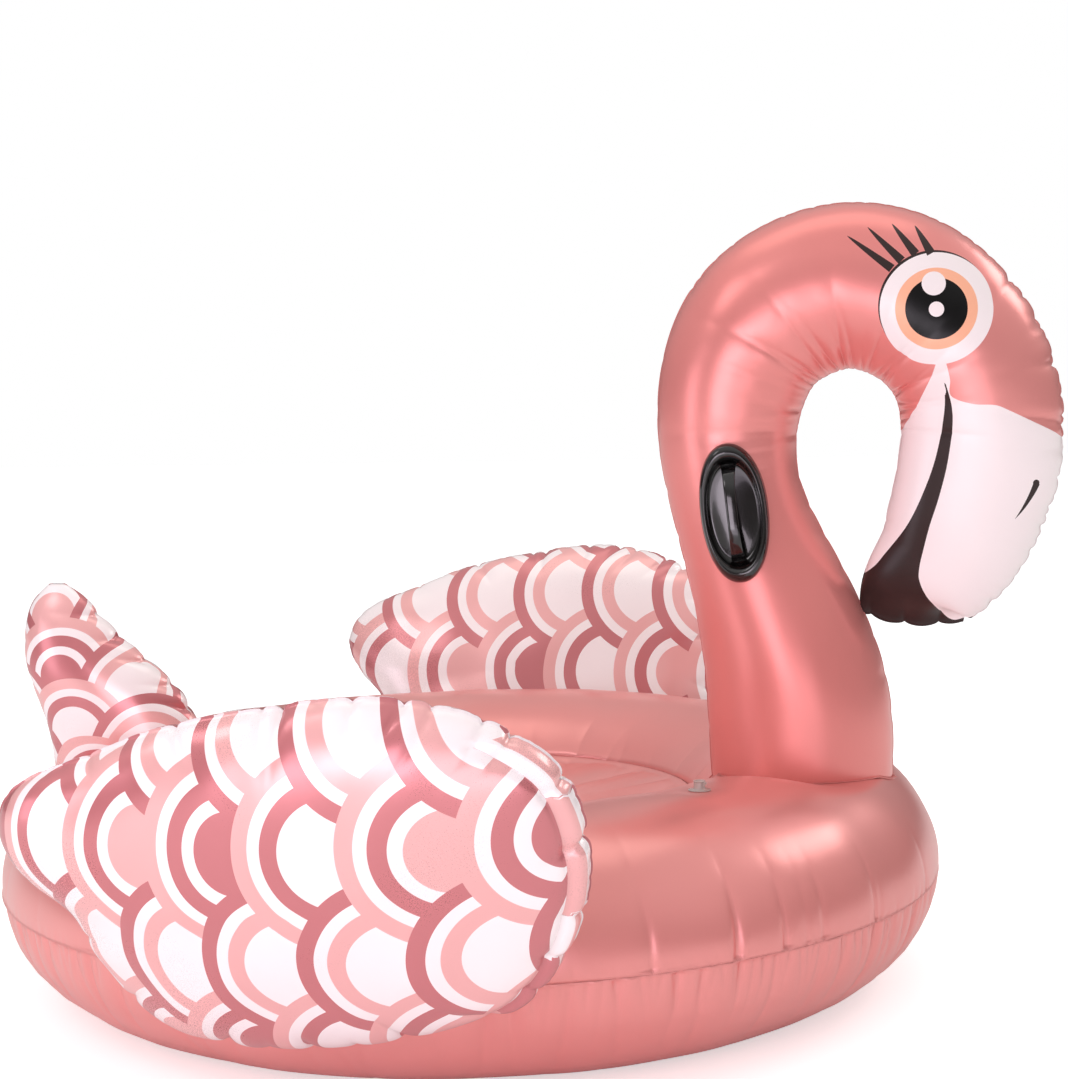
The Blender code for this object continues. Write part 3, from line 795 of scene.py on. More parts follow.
class Flank:
    """A side sheet's smooth shape: rows go up the spine, columns from outer seam to inner."""

    def __init__(self, stations, where, columns, side, upright):
        data = np.array(stations)
        spine = np.stack([RING_CENTRE_X + data[:, 0], data[:, 1]], 1)
        knots = path_length(spine)
        self.length = knots[-1]
        self.place = where * self.length
        state, slope = natural_spline(knots, np.column_stack([spine, data[:, 2:]]), self.place)
        along = unit(slope[:, :2])
        rise = ease(self.place / 0.10)[:, None]
        along = unit(along * rise + np.array([0.0, 1.0]) * (1 - rise))
        if upright:
            along = np.broadcast_to([0.0, 1.0], along.shape)
        self.outward = np.stack([-along[:, 1], np.zeros(len(along)), along[:, 0]], 1)[:, None, :]
        self.forward = np.stack([along[:, 0], np.zeros(len(along)), along[:, 1]], 1)[:, None, :]
        middle = np.stack([state[:, 0], np.zeros(len(state)), state[:, 1]], 1)[:, None, :]
        self.angle = np.linspace(0, math.pi, columns)[None, :]
        width, thickness = state[:, 2][:, None], np.maximum(state[:, 3], 0.0)[:, None]
        self.width, self.thickness, self.side = width, thickness, side
        self.points = (
            middle + self.outward * (width * np.cos(self.angle))[..., None]
            + Y * (side * (thickness * np.sin(self.angle) + SHEET_EDGE_OFFSET))[..., None]
        )
        self.across = path_length(self.points, axis=1)
        self.outer_run, self.inner_run = (
            np.broadcast_to(path_length(self.points[:, edge])[:, None], self.across.shape)
            for edge in (0, -1)
        )
        self.to_inner = self.across[:, -1:] - self.across

    def at(self, run, share):
        """The run along a seam where the spine has gone this far, in metres."""
        return float(np.interp(share, self.place, run[:, 0]))

    def both(self, width=0.02):
        """0 at the two seams, 1 further in."""
        return ease(self.across / width) * ease(self.to_inner / width)

    def pulled(self, amount):
        """The points drawn in by amount, straight towards the spine at the two seams."""
        normals = grid_normals(self.points, Y * self.side)
        at_outer = np.exp(-(self.across / SEAM_PART)**2)[..., None]
        at_inner = np.exp(-(self.to_inner / SEAM_PART)**2)[..., None]
        # The film never reaches the other side's sheet.
        inward = np.minimum(amount, 0.75 * np.abs(self.points[..., 1]))[..., None]
        along = self.outward * (at_outer - at_inner) * amount[..., None]
        return self.points - normals * (1 - at_outer) * (1 - at_inner) * inward - along

    def finished(self, points):
        """The points with a welded fringe along both seams, and the weld and run values."""
        outer = points[:, :1] + self.outward * FRINGE
        inner = points[:, -1:] - self.outward * INNER_FRINGE
        weld = np.minimum(self.across, self.to_inner)
        points = np.concatenate([outer, points, inner], 1)
        return points, np.pad(weld, ((0, 0), (1, 1))), widen(self.outer_run)


# The edges of the beak's colours, seen from the side: (forward, height)
WHITE_EDGES = (
    ((0.627, 0.830), (0.620, 0.798), (0.608, 0.770), (0.593, 0.742), (0.578, 0.718),
     (0.555, 0.690)),
    ((0.800, 0.690), (0.770, 0.710), (0.742, 0.725), (0.712, 0.740), (0.693, 0.748),
     (0.665, 0.750), (0.639, 0.760), (0.638, 0.780), (0.634, 0.798), (0.627, 0.830)),
)
BLACK_EDGES = (
    ((0.631, 0.781), (0.630, 0.736), (0.619, 0.680), (0.602, 0.634), (0.582, 0.595),
     (0.555, 0.559), (0.538, 0.539), (0.505, 0.515)),
    ((0.670, 0.474), (0.653, 0.4735), (0.639, 0.475), (0.624, 0.4855), (0.6075, 0.503),
     (0.598, 0.525), (0.598, 0.542), (0.602, 0.561), (0.611, 0.596), (0.6235, 0.634),
     (0.635, 0.680), (0.641, 0.736), (0.631, 0.781)),
)


def outline_of(edges, far):
    """A closed outline: the first edge, far corners outside the piece, and the second edge."""
    return np.concatenate([through(edges[0], 40), np.array(far), through(edges[1], 60)])


def neck_creases(flank, side_seed):
    """How far creases draw in the neck and head."""
    def outer(share):
        return flank.at(flank.outer_run, share)

    def inner(share):
        return flank.at(flank.inner_run, share)

    end = flank.length
    rows = [
        crease_row(41, 0.03, outer(0.56), 0.055, 0.0010, 0.022, 0.0060),
        crease_row(42, outer(0.60), outer(0.88), 0.021, 0.0012, 0.026, 0.0034),
        crease_row(43, outer(0.88), outer(end - 0.04), 0.0185, 0.0036, 0.030, 0.0032),
        crease_row(44, outer(0.88), outer(1.15), 0.055, 0.0036, 0.060, 0.0045),
    ]
    amount = sum(drawn_in(flank.outer_run, flank.across, row) for row in rows)
    rows = [
        crease_row(45, 0.02, inner(0.50), 0.050, 0.0014, 0.040, 0.0070),
        crease_row(47, inner(0.98), inner(end - 0.05), 0.050, 0.0012, 0.030, 0.0060),
    ]
    amount += sum(drawn_in(flank.inner_run, flank.to_inner, row) for row in rows)
    # Inside the crook the film gathers in fine wrinkles that run most of the way across.
    crook = crease_row(46, inner(0.46), inner(1.02), 0.0078, 0.0062, 0.100, 0.0017, 0.10)
    crook[:, 1] *= np.sin(np.linspace(0.10, 0.90, len(crook)) * math.pi)
    wrinkles = without_trend(drawn_in(flank.inner_run, flank.to_inner, crook))
    amount += wrinkles * (1 - 0.8 * np.exp(-(flank.to_inner / 0.012)**2))
    # Above the handle the film is gathered towards the moulding's end.
    above = crease_row(48, outer(0.415), outer(0.50), 0.0095, 0.0016, 1.0, 0.0016, 0.04)
    gathered = drawn_in(flank.outer_run, flank.across, above)
    amount += gathered * np.exp(-((flank.across - flank.across[:, -1:] * 0.58) / 0.045)**2)
    return amount + swell(side_seed, flank.points, 0.11, 0.0008) * flank.both()


def under_handle(points, side):
    """The film pressed in below a handle's recess."""
    (x, z), cos, sin = HANDLE_CENTRE, math.cos(HANDLE_TILT), math.sin(HANDLE_TILT)
    right, up = points[..., 0] - RING_CENTRE_X - x, points[..., 2] - z
    along, across = -right * sin + up * cos, right * cos + up * sin
    radius = np.hypot(along / HANDLE_HALF_LENGTH, across / HANDLE_HALF_WIDTH)
    pressed = points.copy()
    pressed[..., 1] -= side * TUB_SINK * (1 - ease((radius - 0.74) / 0.20))
    return pressed


def make_neck(material):
    shares = np.concatenate([np.linspace(0, 0.44, 110)[:-1], np.linspace(0.44, 1, 250)])
    white = outline_of(WHITE_EDGES, ((0.42, 0.66), (0.42, 0.30), (0.95, 0.30), (0.95, 0.60)))
    black = outline_of(BLACK_EDGES, ((0.45, 0.48), (0.45, 0.38), (0.69, 0.38)))
    smooth = {}
    for side, word in ((-1, "right"), (1, "left")):
        flank = Flank(NECK_STATIONS, shares, NECK_COLUMNS, side, False)
        smooth[side] = flank
        profile = flank.points[..., [0, 2]].copy()
        profile[..., 0] -= RING_CENTRE_X
        points = under_handle(flank.pulled(neck_creases(flank, 50 + side)), side)
        # The beak ends on a flat weld with a lobed edge.
        close = ease((flank.place - (flank.length - 0.045)) / 0.045)[:, None]
        points[..., 1] = side * (np.abs(points[..., 1]) * (1 - close**3 * 0.9))
        across = np.cos(flank.angle)
        lobes = np.abs(np.sin((across + 0.12) * 1.5 * math.pi))**0.5
        drop_by = close**2 * (0.010 * (1 - across**2) + 0.006 * lobes - 0.004)
        points = points + flank.forward * drop_by[..., None]
        # The foot lies on the ring, and turns out into a narrow welded flare.
        foot_out = unit(np.stack([
            flank.outward[0, 0, 0] * np.cos(flank.angle[0]) / flank.width[0],
            side * np.sin(flank.angle[0]) / flank.thickness[0], np.zeros(NECK_COLUMNS),
        ], 1))
        settle = ease(flank.place / 0.05)[:, None, None]
        foot = on_ring(points[:1])
        points[..., :2] = foot[..., :2] + (points[..., :2] - foot[..., :2]) * settle
        points[..., 2:] = risen(points, foot, ease(flank.place / 0.112)[:, None, None])
        flare = on_ring(points[:1] + foot_out[None] * FLARE)
        points, weld, run = flank.finished(points)
        lip = flank.outward[0] * FRINGE
        flare = np.concatenate([flare[:, :1] + lip, flare, flare[:, -1:] - lip], 1)
        points = np.concatenate([flare, points])
        foot_weld = np.concatenate([[0.0], flank.place + 0.001])[:, None]
        weld = np.minimum(repeated(weld), foot_weld)
        tip_weld = np.concatenate([[1.0], flank.length - flank.place])[:, None]
        weld = np.minimum(weld, tip_weld)
        profile = repeated(widen(profile))
        head = np.concatenate([[-1.0], flank.place - 0.86])[:, None]
        values = {
            "weld": weld, "run": repeated(run),
            "profile": np.pad(profile, ((0, 0), (0, 0), (0, 1))),
            "beak_white": np.minimum(inside_by(profile, white), head),
            "beak_black": np.minimum(inside_by(profile, black), head),
        }
        drop = None
        if side > 0:
            points, drop = seat_valve(points, "neck_valve")
        name = f"neck_{word}_film"
        mesh = grid_mesh(name, points, Y * side, values=values, drop=drop)
        film_piece(name, mesh, material, f"neck_{word}_panel")
    return smooth


def make_tail(material):
    shares = np.linspace(0, 1, 120)
    up, sideways = np.array([-0.196, 0.981]), np.array([0.981, 0.196])
    for side, word in ((-1, "right"), (1, "left")):
        flank = Flank(TAIL_STATIONS, shares, 48, side, True)
        back = crease_row(61, 0.02, flank.outer_run[-1, 0], 0.060, 0.0012, 0.020, 0.0050)
        amount = drawn_in(flank.outer_run, flank.across, back)
        lobes = [
            (flank.at(flank.inner_run, place), depth, 0.040, 0.0060, lean)
            for place, depth, lean in (
                (0.090, 0.0080, 0.3), (0.128, 0.0065, 0.1), (0.168, 0.0090, 0.2),
                (0.206, 0.0085, -0.1), (0.238, 0.0070, 0.1),
            )
        ]
        amount += drawn_in(flank.inner_run, flank.to_inner, lobes)
        end = flank.at(flank.inner_run, flank.length)
        fine = crease_row(62, 0.02, end, 0.022, 0.0010, 0.016, 0.0040)
        amount += drawn_in(flank.inner_run, flank.to_inner, fine)
        amount += swell(63 + side, flank.points, 0.09, 0.0008) * flank.both()
        amount *= np.minimum(flank.width / 0.05, 1.0)
        film = flank.points[..., [0, 2]].copy()
        middle = flank.across - flank.across[:, -1:] / 2
        centre = (flank.points[:, 0] + flank.points[:, -1])[:, None, 0] / 2
        film[..., 0] = centre + middle - RING_CENTRE_X
        t = (0.5802 - film @ up) * (SCALLOP_RADIUS / 0.084) + SCALLOP_RADIUS
        w = (film @ sideways + 0.470) * 1.35
        points = flank.pulled(amount)
        foot = on_ring(points[:1])
        points[..., 2:] = risen(points, foot, ease(flank.place / 0.070)[:, None, None])
        points, weld, run = flank.finished(points)
        foot_weld = flank.place[:, None]
        weld = np.minimum(np.minimum(weld, foot_weld), flank.length - foot_weld)
        printed = widen(np.stack([t, w, np.full_like(t, -1.0)], -1))
        values = {"weld": weld, "run": run, "print": printed}
        name = f"tail_{word}_film"
        mesh = grid_mesh(name, points, Y * side, values=values)
        film_piece(name, mesh, material, f"tail_{word}_panel")


# Wings


# Creases across a wing's edge: (nearest place on the outline, depth, reach)
FRONT_CREASES = (
    ((0.205, 0.331), 0.0060, 0.040), ((0.256, 0.281), 0.0070, 0.036),
    ((0.273, 0.215), 0.0100, 0.042), ((0.262, 0.118), 0.0060, 0.034),
    ((0.243, 0.067), 0.0080, 0.038), ((0.212, 0.027), 0.0070, 0.038),
)
OTHER_CREASES = (
    ((-0.135, -0.059), 0.0085, 0.062), ((-0.034, -0.062), 0.0085, 0.066),
    ((0.066, -0.044), 0.0090, 0.066), ((0.165, -0.009), 0.0080, 0.055),
    ((0.047, 0.370), 0.0040, 0.050), ((0.130, 0.361), 0.0045, 0.055),
    ((0.180, 0.346), 0.0050, 0.050), ((-0.240, -0.004), 0.0060, 0.050),
    ((-0.283, 0.080), 0.0045, 0.045), ((-0.045, 0.357), 0.0035, 0.045),
    ((0.010, -0.056), 0.0045, 0.045), ((-0.085, -0.063), 0.0045, 0.045),
)
INNER_CREASES = (
    ((-0.142, 0.338), 0.0045, 0.042), ((-0.027, 0.360), 0.0055, 0.046),
    ((0.100, 0.366), 0.0055, 0.046), ((-0.240, 0.300), 0.0025, 0.030),
)
STRIP_WIDTH = 0.036
WING_CREASE_WIDTH = 0.0040
# How far the print's radius is stretched beyond the wing's last row
TIP_STRETCH = 0.00375


def make_wing(word, side, facing, material):
    """One sheet of a wing; facing is outer or inner."""
    outer = facing == "outer"
    bulge, turn = (WING_OUTER_BULGE, 1.0) if outer else (WING_INNER_BULGE, -1.0)
    up = np.array([0.0, side * math.sin(WING_LEAN), math.cos(WING_LEAN)])
    away = np.array([0.0, side * math.cos(WING_LEAN), -math.sin(WING_LEAN)])
    foot = np.array([RING_CENTRE_X, side * WING_PLANE_Y, RING_MID_HEIGHT])
    outline = even(through(WING_OUTLINE, 1200, closed=True), 480)
    middle = through(WING_OUTLINE, 38, closed=True).mean(axis=0)
    share = (1 - np.linspace(0, 1, 48)**1.5 * 0.985)[:, None]
    flat = middle + (outline - middle)[None] * share[..., None]
    height = bulge * np.sqrt(1 - share**2.05) * np.ones((1, len(outline)))

    points = (
        foot + flat[..., :1] * X + flat[..., 1:] * up
        + (turn * (height + SHEET_EDGE_OFFSET))[..., None] * away
    )
    distance = path_length(points)
    loop_run = path_length(np.concatenate([outline, outline[:1]]))
    loop = loop_run[-1]
    run = np.broadcast_to(loop_run[:-1], distance.shape)

    def creases(rows, seed):
        rng = np.random.default_rng(seed)
        table = []
        for place, depth, reach in rows:
            nearest = np.argmin(np.linalg.norm(outline - np.array(place), axis=1))
            lean = rng.uniform(-0.2, 0.2)
            table.append((loop_run[nearest], 1.4 * depth, reach, WING_CREASE_WIDTH, lean))
        return table

    # Creases run on from one sheet's edge to the other's, so that the welded edge is one line.
    shared = creases(FRONT_CREASES + OTHER_CREASES, 70) + creases(INNER_CREASES, 71)
    fade = 1.0 if outer else 0.9
    amount = drawn_in(run, distance, [(a, b, c * fade, d, e) for a, b, c, d, e in shared], loop)
    amount += drawn_in(run, distance, crease_row(72, 0, loop, 0.021, 0.0012, 0.014, 0.0040), loop)
    amount += swell(73 + (side > 0) + 2 * outer, points, 0.10, 0.0010) * ease(distance / 0.02)
    edge_way = unit(np.roll(outline, -1, axis=0) - np.roll(outline, 1, axis=0))
    edge_out = np.stack([edge_way[:, 1], -edge_way[:, 0]], 1)
    if ((outline - middle) * edge_out).sum() < 0:
        edge_out = -edge_out
    # A crease runs along the front end, where the print is out of step by a finger's width.
    front = ease((flat[..., 0] - 0.150) / 0.03) * ease((0.345 - flat[..., 1]) / 0.02) * outer
    amount += 0.0065 * np.exp(-np.abs(distance - STRIP_WIDTH) / 0.0035) * front
    amount -= 0.0050 * np.exp(-((distance - 0.021) / 0.011)**2) * front
    normals = grid_normals(points, turn * away, wrap=True)
    edge_dir = edge_out[:, :1] * X + edge_out[:, 1:] * up
    near = np.exp(-(distance / SEAM_PART)**2)[..., None]
    inward = np.minimum(amount, 0.75 * height)[..., None]
    points = points - normals * (1 - near) * inward - edge_dir[None] * near * amount[..., None]
    fringe = points[:1] + edge_dir[None] * FRINGE
    points = np.concatenate([fringe, points])

    reach = (distance[-1:] - distance + TIP_STRETCH)[..., None]
    film = middle + unit(outline - middle)[None] * reach
    if outer:
        # The film draws in more towards the tail than towards the front.
        stretched = film[..., 0] * 1.06 - 0.5 * film[..., 0]**2 + 0.008
        t, w = stretched - 0.040, film[..., 1] - 0.235
    else:
        t, w = film[..., 0] - 0.101, film[..., 1] - 0.145
    # The front end's rim shows its own stretch of the print, in stripes along the crease.
    printed = np.stack([t, w, np.where(front > 0.5, STRIP_WIDTH - distance, -1.0)], -1)
    height_there = flat[..., 1]
    on_a = (height_there > 0.130) & (height_there < 0.270)
    strip_t = np.where(on_a, -SCALLOP_RADIUS, -SCALLOP_RADIUS / 2 + 0.019 * (height_there > 0.070))
    strip_w = np.where(on_a, 0.0, SCALLOP_PITCH * SCALLOP_RADIUS)
    strip = np.stack([strip_t, strip_w, np.zeros_like(t)], -1)
    values = {
        "weld": repeated(distance), "run": repeated(run), "print": repeated(printed),
        "strip": repeated(strip),
    }
    tip = points[-1].mean(axis=0)
    name = f"{word}_wing_{facing}_film"
    mesh = grid_mesh(name, points, turn * away, wrap=True, tip=tip, values=values)
    film_piece(name, mesh, material, f"{word}_wing_{facing}_panel")


# Handles


# From the tub's rim to its floor: (share of the half sizes, rise)
TUB_SECTION = (
    (1.000, 0.0000), (1.006, 0.0014), (0.996, 0.0046), (0.972, 0.0084), (0.932, 0.0114),
    (0.884, 0.0126), (0.838, 0.0119), (0.798, 0.0090), (0.768, 0.0046), (0.745, -0.0006),
    (0.710, -0.0034), (0.640, -0.0046), (0.400, -0.0052), (0.150, -0.0052),
)
TUB_BACK = -0.0064
TUB_SINK = 0.0086
TUB_LIFT = 0.0010
GRIP_HALF_LENGTH = 0.0620
GRIP_HALF_WIDTH = 0.0078
GRIP_HALF_THICKNESS = 0.00275
GRIP_ENDS = -0.0066
GRIP_ARCH = 0.0282


class NeckSurface:
    """The neck's smooth side, which a handle follows."""

    def __init__(self, flank):
        faces = quads_of(*flank.points.shape[:2])
        self.tree = BVHTree.FromPolygons(flank.points.reshape(-1, 3).tolist(), faces.tolist())
        self.side = flank.side

    def above(self, forward, height, rise):
        """The point this far out from the film."""
        start = Vector((RING_CENTRE_X + forward, self.side, height))
        hit = self.tree.ray_cast(start, Vector((0.0, -self.side, 0.0)))[0]
        return np.array(hit) + Y * (self.side * rise)


def handle_place(along, across):
    """(forward, height) of a place on a handle."""
    cos, sin = math.cos(HANDLE_TILT), math.sin(HANDLE_TILT)
    return (
        HANDLE_CENTRE[0] + across * cos - along * sin,
        HANDLE_CENTRE[1] + across * sin + along * cos,
    )


def squared(angle, power):
    """The cosine and sine of a turn that is squarer than a circle."""
    return (np.sign(part) * np.abs(part)**power for part in (np.cos(angle), np.sin(angle)))


def make_handle(word, surface, material):
    side = surface.side
    cos, sin = squared(turns(128), 0.92)
    hidden = np.linspace(0.06, 1.0, 9)[:-1]
    back = np.stack([hidden, TUB_BACK * (1 - ease((hidden - 0.66) / 0.26))], 1)
    rows = [
        [
            surface.above(*handle_place(a, c), rise + TUB_LIFT)
            for a, c in zip(share * HANDLE_HALF_LENGTH * cos, share * HANDLE_HALF_WIDTH * sin)
        ]
        for share, rise in np.concatenate([back, through(TUB_SECTION, 60)])
    ]
    ends = [
        surface.above(*HANDLE_CENTRE, rise + TUB_LIFT) for rise in (TUB_BACK, TUB_SECTION[-1][1])
    ]
    mesh = solid_of_rows(f"{word}_tub", np.array(rows), ends=ends, flip=side < 0)
    add(f"{word}_handle_tub_moulding", mesh, material, f"{word}_handle_tub")

    cos, sin = squared(turns(32), 0.8)
    forward, height = handle_place(0.0, 1.0)
    across = np.array([forward - HANDLE_CENTRE[0], 0.0, height - HANDLE_CENTRE[1]])
    rows = []
    for place in np.linspace(-1, 1, 64):
        lift = GRIP_ENDS + GRIP_ARCH * (1 - place**4)
        spine = surface.above(*handle_place(place * GRIP_HALF_LENGTH, 0.0), lift)
        waist = GRIP_HALF_WIDTH * (1 + 0.35 * place**6 - 0.10 * (1 - place**2))
        thick = side * GRIP_HALF_THICKNESS * (1 + sin)
        rows.append(spine + across * (waist * cos)[:, None] + Y * thick[:, None])
    mesh = solid_of_rows(f"{word}_grip", np.array(rows), flip=side < 0)
    add(f"{word}_handle_grip_bar", mesh, material, f"{word}_handle_grip")


# Valves


def turns(count):
    return np.arange(count) * 2 * math.pi / count


def turned(profile, ribs=0):
    """Rows of points from (radius, height) or (radius, height, depth of ribs), turned round Z."""
    angle = turns(72)
    return np.array([
        around(angle, radius + sum(depth) * np.sin(angle * ribs), height)
        for radius, height, *depth in profile
    ])


def solid_of_rows(name, rows, loop=False, ends=None, flip=False):
    """A closed mesh of round rows. They close in a loop, run to two end points, or are capped."""
    count, sides = rows.shape[:2]
    faces = quads_of(count, sides, wrap=True, loop=loop).tolist()
    points = rows.reshape(-1, 3).tolist()
    first, last = (list(range(start, start + sides)) for start in (0, (count - 1) * sides))
    if ends is not None:
        faces += [(b, a, len(points)) for a, b in zip(first, first[1:] + first[:1])]
        faces += [(a, b, len(points) + 1) for a, b in zip(last, last[1:] + last[:1])]
        points += [list(end) for end in ends]
    elif not loop:
        faces += [first[::-1], last]
    if flip:
        faces = [face[::-1] for face in faces]
    mesh = bpy.data.meshes.new(name)
    mesh.from_pydata(points, [], faces)
    return mesh


def moulded(mesh, low, high, place):
    """The mesh with a rounded strap end as part of the same moulding, in its place."""
    mesh.flip_normals()
    bm = bmesh.new()
    bm.from_mesh(mesh)
    middle, size = (Vector(low) + Vector(high)) / 2, Vector(high) - Vector(low)
    box = Matrix.Translation(middle) @ Matrix.Diagonal((*size, 1.0))
    made = bmesh.ops.create_cube(bm, size=1.0, matrix=box)
    edges = list({edge for vert in made["verts"] for edge in vert.link_edges})
    bmesh.ops.bevel(bm, geom=edges, offset=0.00022, segments=3, affect="EDGES", profile=0.5)
    bm.transform(place)
    bm.normal_update()
    bmesh.ops.recalc_face_normals(bm, faces=bm.faces)
    bm.to_mesh(mesh)
    bm.free()
    return mesh


STEM_PROFILE = (
    (0.0135, 0.00030), (0.0140, 0.00060), (0.0138, 0.00110), (0.0128, 0.00135), (0.0092, 0.00155),
    (0.0078, 0.00200), (0.0071, 0.00300), (0.0070, 0.0060), (0.0070, 0.0092), (0.0067, 0.0100),
    (0.0050, 0.0100), (0.0046, 0.0096), (0.0046, 0.0000), (0.0046, -0.0068), (0.0048, -0.0070),
    (0.0064, -0.0070), (0.0066, -0.0067), (0.0066, -0.0020), (0.0066, 0.0003),
)
PLUG_PROFILE = (
    (0.0012, 0.01150), (0.0040, 0.01155), (0.0052, 0.01185), (0.0060, 0.0120), (0.0068, 0.0119),
    (0.0071, 0.0117, 0.00012), (0.0072, 0.0113, 0.00015), (0.0072, 0.0108, 0.00015),
    (0.0070, 0.0104, 0.00010), (0.0064, 0.01030), (0.0044, 0.0103), (0.0042, 0.0100),
    (0.0040, 0.0085), (0.0037, 0.0075), (0.0033, 0.0073),
)
PLUG_ENDS = ((0, 0, 0.0115), (0, 0, 0.0073))


def make_valve(prefix, body, material):
    stem = solid_of_rows(f"{prefix}_stem", turned(STEM_PROFILE), loop=True)
    plug = solid_of_rows(f"{prefix}_plug", turned(PLUG_PROFILE, 36), ends=PLUG_ENDS)
    for mesh, low, high, node, rides in (
        (stem, (-0.0098, -0.0022, 0.0080), (-0.0058, 0.0022, 0.0100), f"{prefix}_body", "float"),
        (plug, (-0.0098, -0.0022, 0.0103), (-0.0060, 0.0022, 0.0113), f"{prefix}_cap", body),
    ):
        moulded(mesh, low, high, VALVE_FRAMES[prefix])
        add(mesh.name, mesh, material, node, rides)
        mesh.set_sharp_from_angle(angle=math.radians(50))


# Studio


def camera():
    data = bpy.data.cameras.new("camera")
    data.lens, data.sensor_width = 76.74, 36.0
    obj = bpy.data.objects.new("camera", data)
    bpy.context.scene.collection.objects.link(obj)
    azimuth, pitch, roll = math.radians(10.0), 0.0897, -0.0229
    level = math.cos(pitch)
    fwd = Vector((-math.sin(azimuth) * level, math.cos(azimuth) * level, -math.sin(pitch)))
    right = Vector((math.cos(azimuth), math.sin(azimuth), 0.0))
    up = right.cross(fwd)
    turn = Matrix((right, up, -fwd)).transposed() @ Matrix.Rotation(roll, 3, "Z")
    obj.matrix_world = Matrix.Translation((0.5437, -2.9924, 0.8505)) @ turn.to_4x4()
    bpy.context.scene.camera = obj


def softbox(name, place, target, size, power, colour=(1.0, 1.0, 1.0)):
    data = bpy.data.lights.new(name, "AREA")
    data.shape, data.size, data.size_y = "RECTANGLE", *size
    data.energy, data.color = power, colour
    obj = bpy.data.objects.new(name, data)
    obj.location = place
    obj.rotation_euler = (Vector(target) - Vector(place)).to_track_quat("-Z", "Y").to_euler()
    bpy.context.scene.collection.objects.link(obj)


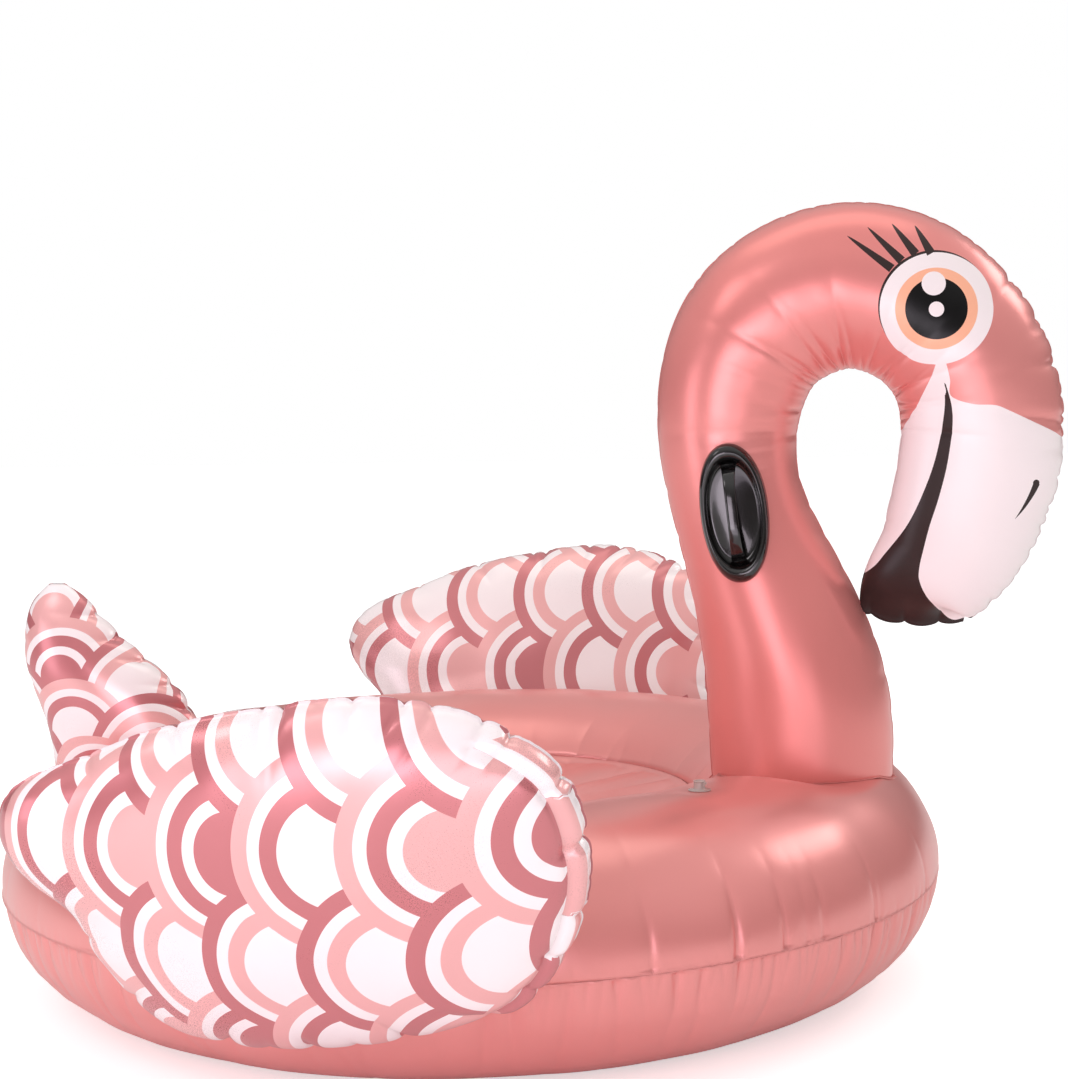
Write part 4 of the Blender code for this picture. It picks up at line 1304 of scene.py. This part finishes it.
def studio():
    scene = bpy.context.scene
    scene.view_settings.view_transform = "Standard"
    scene.view_settings.look = "None"
    world = bpy.data.worlds.new("studio")
    scene.world = world
    world.use_nodes = True
    tree = world.node_tree
    background = tree.nodes["Background"]
    direction = tree.nodes.new("ShaderNodeTexCoord").outputs["Generated"]
    split = tree.nodes.new("ShaderNodeSeparateXYZ")
    ramp = tree.nodes.new("ShaderNodeValToRGB")
    for element, position, colour in zip(
        ramp.color_ramp.elements, (0.50, 0.86), ((0.13, 0.09, 0.09, 1), (1.0, 0.98, 0.97, 1)),
    ):
        element.position, element.color = position, colour
    scaled = tree.nodes.new("ShaderNodeMath")
    scaled.operation = "MULTIPLY_ADD"
    scaled.inputs[1].default_value, scaled.inputs[2].default_value = 0.5, 0.5
    background.inputs[1].default_value = 0.70
    # Reflections see a studio that darkens towards the horizon. The rest sees an even white one.
    even_light = tree.nodes.new("ShaderNodeBackground")
    even_light.inputs[0].default_value, even_light.inputs[1].default_value = (1, 1, 1, 1), 0.72
    seen = tree.nodes.new("ShaderNodeBackground")
    seen.inputs[0].default_value, seen.inputs[1].default_value = (1, 1, 1, 1), 1.0
    path = tree.nodes.new("ShaderNodeLightPath").outputs
    for_shine, for_camera = (tree.nodes.new("ShaderNodeMixShader") for _ in range(2))
    for out, into in (
        (direction, split.inputs[0]), (split.outputs["Z"], scaled.inputs[0]),
        (scaled.outputs[0], ramp.inputs[0]), (ramp.outputs[0], background.inputs[0]),
        (path["Is Glossy Ray"], for_shine.inputs[0]), (even_light.outputs[0], for_shine.inputs[1]),
        (background.outputs[0], for_shine.inputs[2]), (path["Is Camera Ray"], for_camera.inputs[0]),
        (for_shine.outputs[0], for_camera.inputs[1]), (seen.outputs[0], for_camera.inputs[2]),
        (for_camera.outputs[0], tree.nodes["World Output"].inputs[0]),
    ):
        tree.links.new(out, into)

    mesh = bpy.data.meshes.new("floor")
    corners = [(-12, -12, -0.001), (12, -12, -0.001), (12, 12, -0.001), (-12, 12, -0.001)]
    mesh.from_pydata(corners, [], [(0, 1, 2, 3)])
    floor = bpy.data.objects.new("floor", mesh)
    bpy.context.scene.collection.objects.link(floor)
    look = Look("floor", Roughness=0.7, Specular_IOR_Level=0.2)
    look.colour(look.mix(look.noise(3.0), (0.93, 0.93, 0.93), (0.90, 0.90, 0.90)))
    look.shader.inputs["Emission Color"].default_value = (1.0, 1.0, 1.0, 1.0)
    # The camera sees the floor run on into the white backdrop; the float isn't lit by it.
    path = look.tree.nodes.new("ShaderNodeLightPath")
    look.drive("Emission Strength", Sum(look.tree, path.outputs["Is Camera Ray"]) * 0.52)
    mesh.materials.append(look.material)

    softbox("front", (0.25, -2.45, 0.33), (0.1, 0.0, 0.45), (2.3, 0.62), 7.5, (1.0, 0.86, 1.0))
    softbox("fill", (-0.6, -3.6, 0.7), (0.3, 0.0, 0.6), (1.7, 1.0), 18, (1.0, 0.88, 1.0))
    softbox("key", (-1.9, -1.6, 2.6), (0.1, 0.0, 0.5), (1.0, 1.0), 8, (1.0, 0.93, 0.97))
    softbox("top", (0.0, 0.4, 3.2), (0.0, 0.0, 0.0), (2.6, 1.2), 10, (1.0, 0.93, 0.84))
    softbox("right", (2.4, 1.4, 2.3), (0.5, 0.0, 0.7), (1.4, 0.8), 13, (1.0, 0.95, 0.93))
    softbox("left", (-2.4, -1.7, 0.65), (0.1, 0.0, 0.5), (0.8, 1.1), 7, (1.0, 0.87, 1.0))


def main():
    camera()
    rose, printed, neck = rose_look(), print_look(), neck_look()
    black, clear = moulding_look(), clear_look()
    make_ring(rose)
    make_seat(rose)
    flanks = make_neck(neck)
    make_tail(printed)
    for side, word in ((-1, "right"), (1, "left")):
        for facing in ("outer", "inner"):
            make_wing(word, side, facing, printed)
        make_handle(word, NeckSurface(flanks[side]), black)
    make_valve("ring_valve", "ring_cap", clear)
    make_valve("neck_valve", "neck_cap", clear)
    for name in ("ring_valve_flap", "neck_valve_flap"):
        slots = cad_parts[name].data.materials
        slots.clear()
        slots.append(clear)
    studio()


main()
